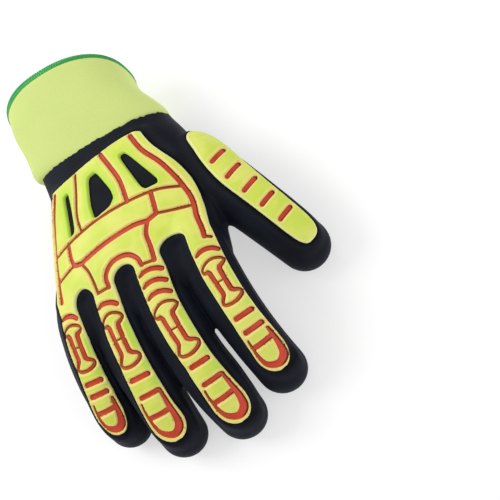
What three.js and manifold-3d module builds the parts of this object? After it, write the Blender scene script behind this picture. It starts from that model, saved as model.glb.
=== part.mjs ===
// Right-hand impact glove, lying palm down: fingers towards -Y, thumb towards +X, back of the hand up.
import * as THREE from 'three';
import { mergeVertices } from 'three/addons/utils/BufferGeometryUtils.js';
import Module from 'manifold-3d';

const wasm = await Module();
wasm.setup();

// Driving dimensions, in millimetres and degrees.
const palmLength = 94;
const handWidth = 116;
const handThickness = 54;
const palmEdgePower = 2.5;
const cuffEdgePower = 2.3;
const shellWall = 2.4;

const wristWidth = 89;
const wristThickness = 45;
const wristSlantDeg = -3.5;
const wristShift = -4.7;
const wristSetback = 2.5;
const wristBottom = 0.2;
const cuffLength = 35.5;
const cuffMouthWidth = 79;
const cuffMouthHeight = 54;
const cuffLeanDeg = 6;
const cuffMouthSlantDeg = 30;
const cuffWall = 2.2;
const coatingStep = 0.8;

const restDrop = 1.6;
const seatGap = 0.3;

const guardThickness = 4;
const grooveDepth = 2;
const guardReach = 10;
const inlayThickness = 0.8;
const stripHalfWidth = 9.2;
const wideGroove = 2.7;
const narrowGroove = 1.7;
const barGroove = 3;
const tipGroove = 3.2;
const hemLength = 4;
const hemThickness = 3;

// across and back are shares of handWidth and palmLength, bend is sideways in mm, and roll is how far
// the back of the finger turns towards the thumb. thumbSide and pinkySide are the half widths of its strip
// at stripStations, as shares of stripHalfWidth.
const stripStations = [0, 0.13, 0.29, 0.45, 0.61, 0.77, 0.86];
const fingerRows = [
  {
    name: 'index', across: 0.222, back: 0.93, rootHeight: 39, length: 85,
    splayDeg: 0.6, bend: -0.2, rollDeg: 19, width: 30, depth: 28,
    thumbSide: [1.12, 1.06, 1, 1.02, 1.1, 1.24, 1.22],
    pinkySide: [0.66, 0.83, 0.96, 0.95, 0.95, 1.02, 1.05],
    chevrons: [0.14], bone: [0.213, 0.5], bars: [0.585, 0.675], tip: [0.72, 0.905], tipBars: [0.24],
  },
  {
    name: 'middle', across: -0.065, back: 0.93, rootHeight: 41, length: 96,
    splayDeg: -0.3, bend: -0.6, rollDeg: 14, width: 30, depth: 28,
    thumbSide: [1.16, 1.05, 1, 1, 1.05, 1.2, 1.28],
    pinkySide: [0.76, 0.91, 1.09, 1.15, 1.04, 1.1, 1.15],
    chevrons: [0.05, 0.12, 0.19], bone: [0.255, 0.562], bars: [0.622], tip: [0.725, 0.94], tipBars: [0, 0.45],
  },
  {
    name: 'ring', across: -0.32, back: 0.93, rootHeight: 39, length: 88,
    splayDeg: -5.9, bend: -0.9, rollDeg: 9, width: 29, depth: 27.5,
    thumbSide: [0.8, 0.78, 0.93, 1.02, 1.09, 1.12, 1.15],
    pinkySide: [0.72, 0.78, 0.88, 0.9, 1, 1.17, 1.2],
    chevrons: [0.08], bone: [0.15, 0.485], bars: [0.56], tip: [0.665, 0.905], tipBars: [0, 0.46],
  },
  {
    name: 'pinky', across: -0.553, back: 0.93, rootHeight: 35, length: 67,
    splayDeg: -9.5, bend: -1.6, rollDeg: 7, width: 27, depth: 26,
    thumbSide: [0.62, 0.74, 0.93, 1.06, 1.11, 1, 0.85],
    pinkySide: [0.64, 0.69, 0.71, 0.69, 0.85, 1.12, 1.2],
    chevrons: [0], bone: [0.082, 0.448], bars: [0.541, 0.63], tip: [0.69, 0.89], tipBars: [0.3],
  },
];
const thumbRow = {
  name: 'thumb', across: 0.33, back: 0.46, rootHeight: 27, length: 82,
  splayDeg: 25.5, bend: 1.2, rollDeg: 34, width: 31, depth: 29,
  bars: [0.18, 0.34, 0.5, 0.66, 0.82],
};

// Sections of the palm: along is a share of palmLength from the wrist, left and right of handWidth,
// bottom and top of handThickness.
const palmRows = [
  { along: 0.18, left: 0.43, right: 0.38, bottom: -0.03, top: 0.9 },
  { along: 0.4, left: 0.475, right: 0.4, bottom: -0.035, top: 0.955 },
  { along: 0.61, left: 0.54, right: 0.395, bottom: 0.05, top: 0.99 },
  { along: 0.83, left: 0.62, right: 0.38, bottom: 0.16, top: 1 },
  { along: 1, left: 0.655, right: 0.355, bottom: 0.25, top: 0.965 },
  { along: 1.09, left: 0.64, right: 0.34, bottom: 0.32, top: 0.93 },
  { along: 1.17, left: 0.6, right: 0.31, bottom: 0.4, top: 0.82 },
  { along: 1.22, left: 0.54, right: 0.26, bottom: 0.48, top: 0.7 },
];
const palmWristLine = 52;

// Width of a finger along its length: at is a share of its length, size a share of its width.
const fingerRowsAlong = [
  { at: -0.25, size: 0.8 },
  { at: 0, size: 1 },
  { at: 0.25, size: 0.985 },
  { at: 0.5, size: 0.97 },
  { at: 0.75, size: 0.98 },
  { at: 1, size: 1 },
];
const tipAnglesDeg = [28, 54];
const flexPower = 2.7;

const palmSides = 24;
const fingerSides = 12;

// The round end of a finger strip: run is a share of stripCapReach, size of the strip's half width.
const stripCapRows = [
  { run: 0, size: 1 },
  { run: 0.4, size: 0.92 },
  { run: 0.7, size: 0.72 },
  { run: 0.88, size: 0.48 },
  { run: 1, size: 0.2 },
];
const stripCapReach = 10.7;
const stripRim = 2.6;

// Edges of the thumb guard along the thumb: inner and outer are shares of the thumb's width
// from its middle line.
const thumbGuardRows = [
  { at: -0.12, inner: 0.2, outer: 0.31 },
  { at: -0.09, inner: 0.13, outer: 0.37 },
  { at: 0, inner: 0.03, outer: 0.395 },
  { at: 0.1, inner: -0.08, outer: 0.395 },
  { at: 0.22, inner: -0.18, outer: 0.385 },
  { at: 0.36, inner: -0.26, outer: 0.35 },
  { at: 0.6, inner: -0.28, outer: 0.27 },
  { at: 0.8, inner: -0.28, outer: 0.21 },
  { at: 0.93, inner: -0.265, outer: 0.18 },
  { at: 1.02, inner: -0.225, outer: 0.12 },
  { at: 1.07, inner: -0.15, outer: 0.04 },
];

// Outline and windows of the hand plate: across is a share of handWidth, along of palmLength from the wrist.
const plateTopEdge = [
  [-0.34, 0.172], [-0.2, 0.165], [-0.06, 0.148], [0.08, 0.135], [0.2, 0.133], [0.243, 0.155],
];
const plateThumbEdge = [
  [0.243, 0.155], [0.265, 0.26], [0.295, 0.344], [0.336, 0.446], [0.36, 0.545], [0.37, 0.631], [0.37, 0.714],
];
const platePinkyEdge = [[-0.578, 0.82], [-0.54, 0.64], [-0.5, 0.48], [-0.42, 0.3], [-0.34, 0.172]];
const plateWindows = [
  [[0.09, 0.235], [0.132, 0.235], [0.225, 0.5], [0.218, 0.53], [0.15, 0.525], [0.13, 0.49]],
  [
    [-0.105, 0.25], [-0.052, 0.242], [-0.02, 0.4], [-0.022, 0.46], [-0.06, 0.492], [-0.155, 0.5],
    [-0.145, 0.4],
  ],
  [[-0.285, 0.272], [-0.25, 0.266], [-0.265, 0.34], [-0.298, 0.495], [-0.336, 0.508], [-0.315, 0.42]],
];
// Tops of the slots between the finger strips, from the thumb side, as shares of palmLength.
const slotTops = [0.862, 0.868, 0.848];

// Grooves of the hand plate, in the same shares.
const plateGrooves = [
  { width: wideGroove, line: [[0.187, 0.15], [0.215, 0.28], [0.27, 0.41], [0.305, 0.54], [0.32, 0.625]] },
  {
    width: wideGroove,
    line: [[0.32, 0.625], [0.328, 0.7], [0.324, 0.772], [0.317, 0.851], [0.316, 0.925], [0.309, 0.987]],
  },
  { width: narrowGroove, line: [[0.309, 0.987], [0.335, 1.006]] },
  { width: wideGroove, line: [[0.005, 0.155], [0.03, 0.28], [0.045, 0.39], [0.035, 0.532]] },
  { width: narrowGroove, line: [[-0.167, 0.175], [-0.2, 0.28], [-0.25, 0.42], [-0.262, 0.531]] },
  {
    width: narrowGroove,
    line: [[-0.335, 0.2], [-0.41, 0.35], [-0.475, 0.53], [-0.51, 0.67], [-0.545, 0.83]],
  },
  {
    width: narrowGroove,
    line: [[-0.48, 0.556], [-0.31, 0.535], [-0.13, 0.522], [0.04, 0.535], [0.2, 0.567], [0.32, 0.625]],
  },
  { width: wideGroove, line: [[0.165, 0.56], [0.15, 0.66], [0.142, 0.7]] },
  { width: wideGroove, line: [[0.142, 0.7], [0.085, 0.712]] },
  { width: narrowGroove, line: [[0.142, 0.7], [0.22, 0.732], [0.325, 0.765]] },
  { width: wideGroove, line: [[0.085, 0.712], [0, 0.688], [-0.17, 0.685], [-0.337, 0.705]] },
  { width: wideGroove, line: [[-0.365, 0.545], [-0.383, 0.64], [-0.378, 0.685], [-0.337, 0.705]] },
  { width: narrowGroove, line: [[-0.378, 0.685], [-0.515, 0.712]] },
  { width: narrowGroove, line: [[-0.337, 0.705], [-0.318, 0.78], [-0.318, 0.86], [-0.325, 0.93]] },
  { width: narrowGroove, line: [[-0.325, 0.93], [-0.257, 0.935]] },
  {
    width: wideGroove,
    line: [
      [-0.257, 0.935], [-0.245, 0.87], [-0.2, 0.825], [-0.145, 0.812], [-0.085, 0.83], [-0.048, 0.88],
      [-0.04, 0.935],
    ],
  },
  { width: narrowGroove, line: [[-0.04, 0.935], [0.025, 0.945]] },
  { width: wideGroove, line: [[0.025, 0.945], [0.04, 0.86], [0.05, 0.78], [0.085, 0.712]] },
];
const plateBase = 15;
const slotSteps = 8;

// The long ring over a finger joint: run is a share of its length, across of stripHalfWidth.
const boneOutline = [
  [0, 0], [0.04, 0.5], [0.13, 0.7], [0.22, 0.36], [0.78, 0.36], [0.87, 0.72], [0.96, 0.5], [1, 0],
];
// The U at a finger's tip, in the same shares.
const tipOutline = [[0, 0.74], [0.4, 0.78], [0.72, 0.7], [0.92, 0.42], [1, 0]];
const chevronRise = 0.023;
const chevronHalf = 0.72;
const barHalf = 0.66;
const thumbBarHalf = 0.6;
const rootSink = 18;
const rootLevel = -0.08;

// Closed surface through rings of equal point counts, capped by fans or by a pole.
function loft(rings, startPole, endPole) {
  const sides = rings[0].length;
  const points = [...rings.flat(), startPole, endPole];
  const startIndex = points.length - 2;
  const endIndex = points.length - 1;
  const indices = [];
  for (let ring = 0; ring < rings.length - 1; ring += 1) {
    for (let side = 0; side < sides; side += 1) {
      const a = ring * sides + side;
      const b = ring * sides + ((side + 1) % sides);
      indices.push(a, b, a + sides, b, b + sides, a + sides);
    }
  }
  const last = (rings.length - 1) * sides;
  for (let side = 0; side < sides; side += 1) {
    const next = (side + 1) % sides;
    indices.push(startIndex, next, side);
    indices.push(endIndex, last + side, last + next);
  }
  const geometry = new THREE.BufferGeometry();
  const coordinates = points.flatMap((p) => [p.x, p.y, p.z]);
  geometry.setAttribute('position', new THREE.Float32BufferAttribute(coordinates, 3));
  geometry.setIndex(indices);
  return geometry;
}

function signedVolume(geometry) {
  const position = geometry.getAttribute('position');
  const index = geometry.getIndex();
  const a = new THREE.Vector3();
  const b = new THREE.Vector3();
  const c = new THREE.Vector3();
  let total = 0;
  for (let i = 0; i < index.count; i += 3) {
    a.fromBufferAttribute(position, index.getX(i));
    b.fromBufferAttribute(position, index.getX(i + 1));
    c.fromBufferAttribute(position, index.getX(i + 2));
    total += a.dot(b.cross(c)) / 6;
  }
  return total;
}

// A closed geometry as a solid, with its faces turned outwards.
function solidOf(source) {
  let geometry = source.clone();
  geometry.deleteAttribute('normal');
  geometry.deleteAttribute('uv');
  geometry = mergeVertices(geometry, 1e-4);
  const triVerts = new Uint32Array(geometry.getIndex().array);
  if (signedVolume(geometry) < 0) {
    for (let i = 0; i < triVerts.length; i += 3) {
      [triVerts[i], triVerts[i + 1]] = [triVerts[i + 1], triVerts[i]];
    }
  }
  const vertProperties = new Float32Array(geometry.getAttribute('position').array);
  return new wasm.Manifold(new wasm.Mesh({ numProp: 3, vertProperties, triVerts }));
}

function meshOf(solid, name, material) {
  const result = solid.getMesh();
  const geometry = new THREE.BufferGeometry();
  geometry.setAttribute('position', new THREE.BufferAttribute(new Float32Array(result.vertProperties), 3));
  geometry.setIndex(new THREE.BufferAttribute(new Uint32Array(result.triVerts), 1));
  geometry.computeVertexNormals();
  const mesh = new THREE.Mesh(geometry, material);
  mesh.name = name;
  return mesh;
}

const signedPower = (value, power) => Math.sign(value) * Math.abs(value) ** power;
const rad = THREE.MathUtils.degToRad;

// One rounded section of the palm or cuff. The plane of the section may slant across and upwards.
function section(row, offset, sides, power) {
  const ring = [];
  for (let side = 0; side < sides; side += 1) {
    const angle = (2 * Math.PI * side) / sides;
    const cos = signedPower(Math.cos(angle), 2 / power);
    const sin = signedPower(Math.sin(angle), 2 / power);
    const halfHeight = (row.top - row.bottom) / 2 + offset;
    const middle = (row.top + row.bottom) / 2;
    const halfWidth = (row.right - row.left) / 2 + offset;
    const x = (row.right + row.left) / 2 + halfWidth * cos;
    const z = Math.max(middle + halfHeight * sin, row.floor ?? -offset);
    const slant = Math.tan(rad(row.slantDeg)) * (x - row.pivotX);
    const lean = Math.tan(rad(row.leanDeg)) * (z - middle);
    ring.push(new THREE.Vector3(x, row.y + slant + lean, z));
  }
  return ring;
}

function ringCentre(ring) {
  const centre = new THREE.Vector3();
  ring.forEach((point) => centre.add(point));
  return centre.divideScalar(ring.length);
}

const wristRow = {
  y: palmWristLine - wristSetback,
  left: wristShift - wristWidth / 2,
  right: wristShift + wristWidth / 2,
  bottom: wristBottom,
  top: wristThickness + wristBottom,
  slantDeg: wristSlantDeg,
  leanDeg: 0,
  pivotX: wristShift,
};

function palmSections(offset, overrun) {
  const beyond = { ...wristRow, y: wristRow.y + overrun };
  const rows = palmRows.map((row) => ({
    y: palmWristLine - row.along * palmLength,
    left: -row.left * handWidth,
    right: row.right * handWidth,
    bottom: row.bottom * handThickness,
    top: row.top * handThickness,
    slantDeg: wristSlantDeg * Math.max(0, 1 - 2 * row.along),
    leanDeg: 0,
    pivotX: wristShift,
  }));
  const all = overrun > 0 ? [beyond, wristRow, ...rows] : [wristRow, ...rows];
  return all.map((row) => section(row, offset, palmSides, palmEdgePower));
}

function palmSolid(offset, overrun, drop) {
  const rings = palmSections(offset, overrun);
  const start = ringCentre(rings[0]);
  const end = ringCentre(rings[rings.length - 1]);
  return solidOf(loft(rings, start, end).translate(0, 0, -drop));
}

// Centre line of a finger from its root (0) to the middle of its round tip (1).
function fingerPoint(row, at) {
  const splay = rad(row.splayDeg);
  const forward = new THREE.Vector3(Math.sin(splay), -Math.cos(splay), 0);
  const sideways = new THREE.Vector3(Math.cos(splay), Math.sin(splay), 0);
  const tipHeight = row.depth / 2 - restDrop;
  const share = Math.max(at, 0);
  const point = new THREE.Vector3(row.across * handWidth, palmWristLine - row.back * palmLength, 0);
  point.addScaledVector(forward, at * row.length);
  point.addScaledVector(sideways, row.bend * 4 * at * (1 - at));
  point.z = tipHeight + (row.rootHeight - tipHeight) * (1 - share ** flexPower);
  point.z += rootSink * Math.min(at - rootLevel, 0);
  return point;
}

function fingerFrame(row, at) {
  const step = 0.01;
  const tangent = fingerPoint(row, at + step).sub(fingerPoint(row, at - step)).normalize();
  const across = new THREE.Vector3().crossVectors(tangent, new THREE.Vector3(0, 0, 1)).normalize().negate();
  const up = new THREE.Vector3().crossVectors(across, tangent).normalize();
  if (up.z < 0) {
    up.negate();
  }
  return { tangent, across, up };
}

function sizeAlong(at) {
  const rows = fingerRowsAlong;
  const next = Math.max(1, rows.findIndex((row) => row.at >= Math.min(at, 1)));
  const share = (Math.min(at, 1) - rows[next - 1].at) / (rows[next].at - rows[next - 1].at);
  return THREE.MathUtils.lerp(rows[next - 1].size, rows[next].size, Math.max(share, 0));
}

// A point of a finger's face: turn is the angle from the thumb side over the back.
// Past 1 the tip rounds off.
function fingerFace(row, at, turn, offset) {
  const { tangent, across, up } = fingerFrame(row, Math.min(at, 1));
  const reach = row.width / 2 + offset;
  const ahead = Math.min(Math.max(at - 1, 0) * row.length, reach * 0.995);
  const size = sizeAlong(at) * Math.sqrt(1 - (ahead / reach) ** 2);
  const point = fingerPoint(row, Math.min(at, 1)).addScaledVector(tangent, ahead);
  point.addScaledVector(across, Math.cos(turn) * (row.width / 2 + offset) * size);
  point.addScaledVector(up, Math.sin(turn) * (row.depth / 2 + offset) * size);
  point.z = Math.max(point.z, -offset);
  return point;
}

function fingerRing(row, at, offset) {
  const turns = Array.from({ length: fingerSides }, (_, side) => (2 * Math.PI * (side + 0.5)) / fingerSides);
  return turns.map((turn) => fingerFace(row, at, turn, offset));
}

function fingerSolid(row, offset, drop) {
  const rings = fingerRowsAlong.map(({ at }) => fingerRing(row, at, offset));
  const reach = row.width / 2 + offset;
  tipAnglesDeg.forEach((angleDeg) => {
    rings.push(fingerRing(row, 1 + (Math.sin(rad(angleDeg)) * reach) / row.length, offset));
  });
  const { tangent } = fingerFrame(row, 1);
  const pole = fingerPoint(row, 1).addScaledVector(tangent, reach);
  pole.z = Math.max(pole.z, -offset);
  return solidOf(loft(rings, ringCentre(rings[0]), pole).translate(0, 0, -drop));
}

// The whole hand form, grown or shrunk by an offset from the shell's outer face, and lowered by drop.
function handForm(offset, overrun = 0, drop = 0) {
  return [...fingerRows, thumbRow].reduce(
    (form, row) => form.add(fingerSolid(row, offset, drop)),
    palmSolid(offset, overrun, drop),
  );
}

// Sections of the cuff: along is a share of cuffLength, bulge and pinkyBulge (the edge by the little finger)
// are shares of the straight run between its ends.
const cuffRows = [
  { along: 0, bulge: 1.05, pinkyBulge: 1.1 },
  { along: 0.3, bulge: 0.985, pinkyBulge: 1.13 },
  { along: 0.65, bulge: 0.985, pinkyBulge: 1.13 },
  { along: 1, bulge: 1.03, pinkyBulge: 1.08 },
];

function cuffRow({ along, bulge, pinkyBulge }) {
  const lean = -Math.tan(rad(cuffLeanDeg)) * cuffLength * along;
  const mix = (a, b) => THREE.MathUtils.lerp(a, b, along);
  const halfWidth = mix(wristWidth - 2 * coatingStep, cuffMouthWidth) / 2;
  const height = mix(wristThickness - 2 * coatingStep, cuffMouthHeight);
  const middle = mix((wristRow.top + wristRow.bottom) / 2, cuffMouthHeight / 2 - restDrop);
  return {
    y: wristRow.y + seatGap + along * cuffLength,
    left: wristShift + lean - halfWidth * pinkyBulge,
    right: wristShift + lean + halfWidth * bulge,
    bottom: middle - height / 2,
    top: middle + height / 2,
    slantDeg: wristSlantDeg,
    leanDeg: cuffMouthSlantDeg * along,
    pivotX: wristShift + lean,
  };
}

function cuffForm(offset, overrun) {
  const rings = cuffRows.map((row) => section(cuffRow(row), offset, palmSides, cuffEdgePower));
  if (overrun > 0) {
    const first = cuffRow(cuffRows[0]);
    const last = cuffRow(cuffRows[cuffRows.length - 1]);
    rings.unshift(section({ ...first, y: first.y - overrun }, offset, palmSides, cuffEdgePower));
    rings.push(section({ ...last, y: last.y + overrun }, offset, palmSides, cuffEdgePower));
  }
  return solidOf(loft(rings, ringCentre(rings[0]), ringCentre(rings[rings.length - 1])));
}

// The edge band beyond the cuff's mouth, thickest at its middle.
function hemRings(offset, crown) {
  const mouth = cuffRow(cuffRows[cuffRows.length - 1]);
  return [0, 0.5, 1].map((share) => {
    const grow = offset + crown * Math.sin(Math.PI * share);
    const row = { ...mouth, y: mouth.y + seatGap + share * hemLength, floor: -offset };
    return section(row, grow, palmSides, cuffEdgePower);
  });
}

function hemSolid() {
  const outerRings = hemRings(0, (hemThickness - cuffWall) / 2);
  const innerRings = hemRings(-cuffWall, 0);
  const before = innerRings[0].map((point) => point.clone().setY(point.y - hemLength));
  const beyond = innerRings[2].map((point) => point.clone().setY(point.y + hemLength));
  const hole = [before, ...innerRings, beyond];
  const outer = solidOf(loft(outerRings, ringCentre(outerRings[0]), ringCentre(outerRings[2])));
  return outer.subtract(solidOf(loft(hole, ringCentre(before), ringCentre(beyond))));
}

// A point of a finger strip: across is measured from the strip's middle line over the curved back.
function stripFace(row, at, across, offset) {
  const turn = rad(90 - row.rollDeg) - across / (row.width / 2 + guardThickness);
  return fingerFace(row, at, turn, offset);
}

// Half widths of a finger's strip at a share of its length, towards the thumb and towards the little finger.
function stripSides(row, at) {
  const next = Math.max(1, stripStations.findIndex((station) => station >= at));
  const last = at > stripStations[stripStations.length - 1] ? stripStations.length - 1 : next;
  const share = Math.min((at - stripStations[last - 1]) / (stripStations[last] - stripStations[last - 1]), 1);
  return [row.thumbSide, row.pinkySide].map((sizes) => (
    THREE.MathUtils.lerp(sizes[last - 1], sizes[last], share) * stripHalfWidth
  ));
}

// A place on a finger strip seen from above: x along the finger and y across its strip, both in millimetres
// of a strip that is stripHalfWidth to each side.
function stripPlan(row, { x, y }) {
  const [thumbSide, pinkySide] = stripSides(row, x / row.length);
  const across = (thumbSide - pinkySide) / 2 + ((y / stripHalfWidth) * (thumbSide + pinkySide)) / 2;
  const point = stripFace(row, x / row.length, across, guardTop);
  return new THREE.Vector2(point.x, point.y);
}

// One edge of a finger strip: side is 1 towards the thumb, -1 towards the little finger.
function stripEdge(row, side) {
  const capStart = row.tip[1] * row.length + stripRim - stripCapReach;
  const straight = stripStations.map((at) => at * row.length).filter((x) => x < capStart - stripRim);
  return [
    ...straight.map((x) => stripPlan(row, { x, y: side * stripHalfWidth })),
    ...stripCapRows.map(({ run, size }) => (
      stripPlan(row, { x: capStart + run * stripCapReach, y: side * size * stripHalfWidth })
    )),
  ];
}

// A smooth line through a few points of the plane.
function smoothLine(points, closed = false) {
  if (points.length === 2) {
    return points;
  }
  const places = points.map(({ x, y }) => new THREE.Vector3(x, y, 0));
  const curve = new THREE.CatmullRomCurve3(places, closed, 'centripetal');
  const line = curve.getPoints(points.length);
  return (closed ? line.slice(0, -1) : line).map(({ x, y }) => new THREE.Vector2(x, y));
}

// The two edges of a line of some width, with square ends lengthened by ends.
function lineEdges(line, width, ends, closed = false) {
  const count = line.length;
  const edges = line.map((point, i) => {
    const first = !closed && i === 0;
    const last = !closed && i === count - 1;
    const before = first ? point : line[(i - 1 + count) % count];
    const after = last ? point : line[(i + 1) % count];
    const along = after.clone().sub(before).normalize();
    const normal = new THREE.Vector2(-along.y, along.x);
    const moved = point.clone().addScaledVector(along, (last ? ends : 0) - (first ? ends : 0));
    return [1, -1].map((side) => moved.clone().addScaledVector(normal, (side * width) / 2));
  });
  return [edges.map(([left]) => left), edges.map(([, right]) => right)];
}

// Every groove of a finger strip, with its name and line in millimetres.
function stripGrooves(row) {
  const place = (x, y) => new THREE.Vector2(x, y);
  const bar = (x, half) => [place(x, -half), place(x, half)];
  const rise = chevronRise * row.length;
  const chevronReach = chevronHalf * stripHalfWidth;
  const grooves = row.chevrons.map((at, i) => {
    const x = at * row.length;
    const points = [place(x + rise, -chevronReach), place(x, 0), place(x + rise, chevronReach)];
    return { name: `chevron_${i + 1}`, lines: [{ points, width: barGroove }] };
  });
  const [start, end] = row.bone.map((at) => at * row.length);
  const side = boneOutline.map(([run, share]) => place(start + (end - start) * run, share * stripHalfWidth));
  const otherSide = side.slice(1, -1).reverse().map(({ x, y }) => place(x, -y));
  const ring = { points: [...side, ...otherSide], width: narrowGroove, closed: true };
  grooves.push({ name: 'joint_ring', lines: [ring] });
  row.bars.forEach((at, i) => {
    const points = bar(at * row.length, barHalf * stripHalfWidth);
    grooves.push({ name: `bar_${i + 1}`, lines: [{ points, width: barGroove }] });
  });
  const [tipStart, tipEnd] = row.tip.map((at) => at * row.length);
  const tipRun = tipEnd - tipStart;
  const tipSide = tipOutline.map(([run, share]) => place(tipStart + tipRun * run, share * stripHalfWidth));
  const tipOther = tipSide.slice(0, -1).reverse().map(({ x, y }) => place(x, -y));
  const tipLines = [{ points: [...tipSide, ...tipOther], width: tipGroove }];
  row.tipBars.forEach((run) => {
    const points = bar(tipStart + tipRun * run, tipOutline[0][1] * stripHalfWidth);
    tipLines.push({ points, width: wideGroove });
  });
  grooves.push({ name: 'tip', lines: tipLines });
  return grooves;
}

// How far a groove runs on past the end of its line, as a share of its width.
const grooveEnd = 0.33;
const grooveFloor = seatGap + guardThickness - grooveDepth;
const guardTop = seatGap + guardThickness;
const inlayLow = grooveFloor + seatGap;
const inlayHigh = inlayLow + inlayThickness;

function joined(solids) {
  return solids.reduce((sum, solid) => sum.add(solid));
}

// Shapes drawn on the plan of the hand and extruded straight up through the guard.
const plan = ([across, along]) => new THREE.Vector2(across * handWidth, palmWristLine - along * palmLength);

function upright(outline) {
  const shape = new THREE.Shape(outline);
  const geometry = new THREE.ExtrudeGeometry(shape, { depth: 1.2 * handThickness, bevelEnabled: false });
  geometry.translate(0, 0, plateBase);
  return solidOf(geometry);
}

// A groove line, cut or filled: trim is taken off each side. place puts its points on the plan.
function uprightLine({ points, width, closed }, trim, place) {
  const line = smoothLine(points, closed);
  const edges = lineEdges(line, width - 2 * trim, grooveEnd * width - trim, closed);
  const [left, right] = edges.map((edge) => edge.map(place));
  if (!closed) {
    return upright([...left, ...right.reverse()]);
  }
  const leftIsOuter = Math.abs(THREE.ShapeUtils.area(left)) > Math.abs(THREE.ShapeUtils.area(right));
  return leftIsOuter ? upright(left).subtract(upright(right)) : upright(right).subtract(upright(left));
}

function grooveSolid(row, groove, trim) {
  return joined(groove.lines.map((line) => uprightLine(line, trim, (point) => stripPlan(row, point))));
}

function plateGrooveSolid(trim) {
  return joined(plateGrooves.map(({ width, line }) => (
    uprightLine({ points: line.map(plan), width }, trim, (point) => point)
  )));
}

// The round hand end of the slot between two finger strips.
function slotArc(from, to, top) {
  const middle = from.clone().add(to).multiplyScalar(0.5);
  const rise = plan([0, top]).y - middle.y;
  return Array.from({ length: slotSteps - 1 }, (_, i) => {
    const angle = (Math.PI * (i + 1)) / slotSteps;
    const point = middle.clone().addScaledVector(from.clone().sub(middle), Math.cos(angle));
    return point.setY(point.y + rise * Math.sin(angle));
  });
}

// Plate and finger strips as one outline, with the windows cut out.
function guardSolid() {
  const outline = [...smoothLine(plateTopEdge.map(plan)), ...smoothLine(plateThumbEdge.map(plan)).slice(1)];
  fingerRows.forEach((row, i) => {
    const pinkySide = stripEdge(row, -1);
    outline.push(...stripEdge(row, 1), ...pinkySide.toReversed());
    if (i < slotTops.length) {
      outline.push(...slotArc(pinkySide[0], stripEdge(fingerRows[i + 1], 1)[0], slotTops[i]));
    }
  });
  outline.push(...smoothLine(platePinkyEdge.map(plan)).slice(0, -1));
  return upright(outline).subtract(joined(plateWindows.map((window) => upright(window.map(plan)))));
}

// The thumb guard's plan lies square to the back of the thumb.
function thumbPlan() {
  const { tangent, across, up } = fingerFrame(thumbRow, 0.5);
  const roll = rad(thumbRow.rollDeg);
  const out = up.clone().multiplyScalar(Math.cos(roll)).addScaledVector(across, Math.sin(roll));
  const sideways = across.clone().multiplyScalar(Math.cos(roll)).addScaledVector(up, -Math.sin(roll));
  return { tangent, sideways, out, origin: fingerPoint(thumbRow, 0) };
}

function thumbPlace(at, across) {
  const { tangent, sideways, origin } = thumbPlan();
  const { tangent: ahead } = fingerFrame(thumbRow, Math.min(Math.max(at, 0), 1));
  const middle = fingerPoint(thumbRow, Math.min(at, 1));
  middle.addScaledVector(ahead, Math.max(at - 1, 0) * thumbRow.length);
  middle.sub(origin);
  return new THREE.Vector2(middle.dot(tangent), middle.dot(sideways) + across);
}

function thumbUpright(points) {
  const { tangent, sideways, out, origin } = thumbPlan();
  const shape = new THREE.Shape(points);
  const geometry = new THREE.ExtrudeGeometry(shape, { depth: handThickness, bevelEnabled: false });
  geometry.applyMatrix4(new THREE.Matrix4().makeBasis(tangent, sideways, out).setPosition(origin));
  return solidOf(geometry);
}

// The middle and the half width of the thumb guard at a share of the thumb's length.
function thumbGuardAt(at) {
  const next = thumbGuardRows.findIndex((row) => row.at >= at);
  const [before, after] = [thumbGuardRows[next - 1], thumbGuardRows[next]];
  const share = (at - before.at) / (after.at - before.at);
  const inner = THREE.MathUtils.lerp(before.inner, after.inner, share) * thumbRow.width;
  const outer = THREE.MathUtils.lerp(before.outer, after.outer, share) * thumbRow.width;
  return { middle: (inner + outer) / 2, half: (outer - inner) / 2 };
}

function thumbBar(at, trim) {
  const { middle, half } = thumbGuardAt(at);
  const ends = [-1, 1].map((side) => thumbPlace(at, middle + side * thumbBarHalf * half));
  const [left, right] = lineEdges(ends, barGroove - 2 * trim, -trim);
  return thumbUpright([...left, ...right.reverse()]);
}

const materials = {
  coating: new THREE.MeshStandardMaterial({ color: 0x16181f, roughness: 0.72, metalness: 0 }),
  knit: new THREE.MeshStandardMaterial({ color: 0xd3e486, roughness: 0.9, metalness: 0 }),
  thread: new THREE.MeshStandardMaterial({ color: 0x3fae58, roughness: 0.85, metalness: 0 }),
  rubber: new THREE.MeshStandardMaterial({ color: 0xd9e85a, roughness: 0.45, metalness: 0 }),
  groove: new THREE.MeshStandardMaterial({ color: 0xcc3a22, roughness: 0.5, metalness: 0 }),
};

const forms = {
  outer: handForm(0),
  seat: handForm(seatGap),
  floor: handForm(grooveFloor),
  inlayLow: handForm(inlayLow),
  inlayHigh: handForm(inlayHigh),
  top: handForm(guardTop),
  under: handForm(guardTop, 0, guardReach),
};

const group = new THREE.Group();
const openingOverrun = 8;
const shell = forms.outer.subtract(handForm(-shellWall, openingOverrun));
const cuff = cuffForm(0, 0).subtract(cuffForm(-cuffWall, openingOverrun));
group.add(meshOf(shell, 'glove_shell', materials.coating));
group.add(meshOf(cuff, 'cuff', materials.knit));
group.add(meshOf(hemSolid(), 'cuff_hem', materials.thread));

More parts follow.
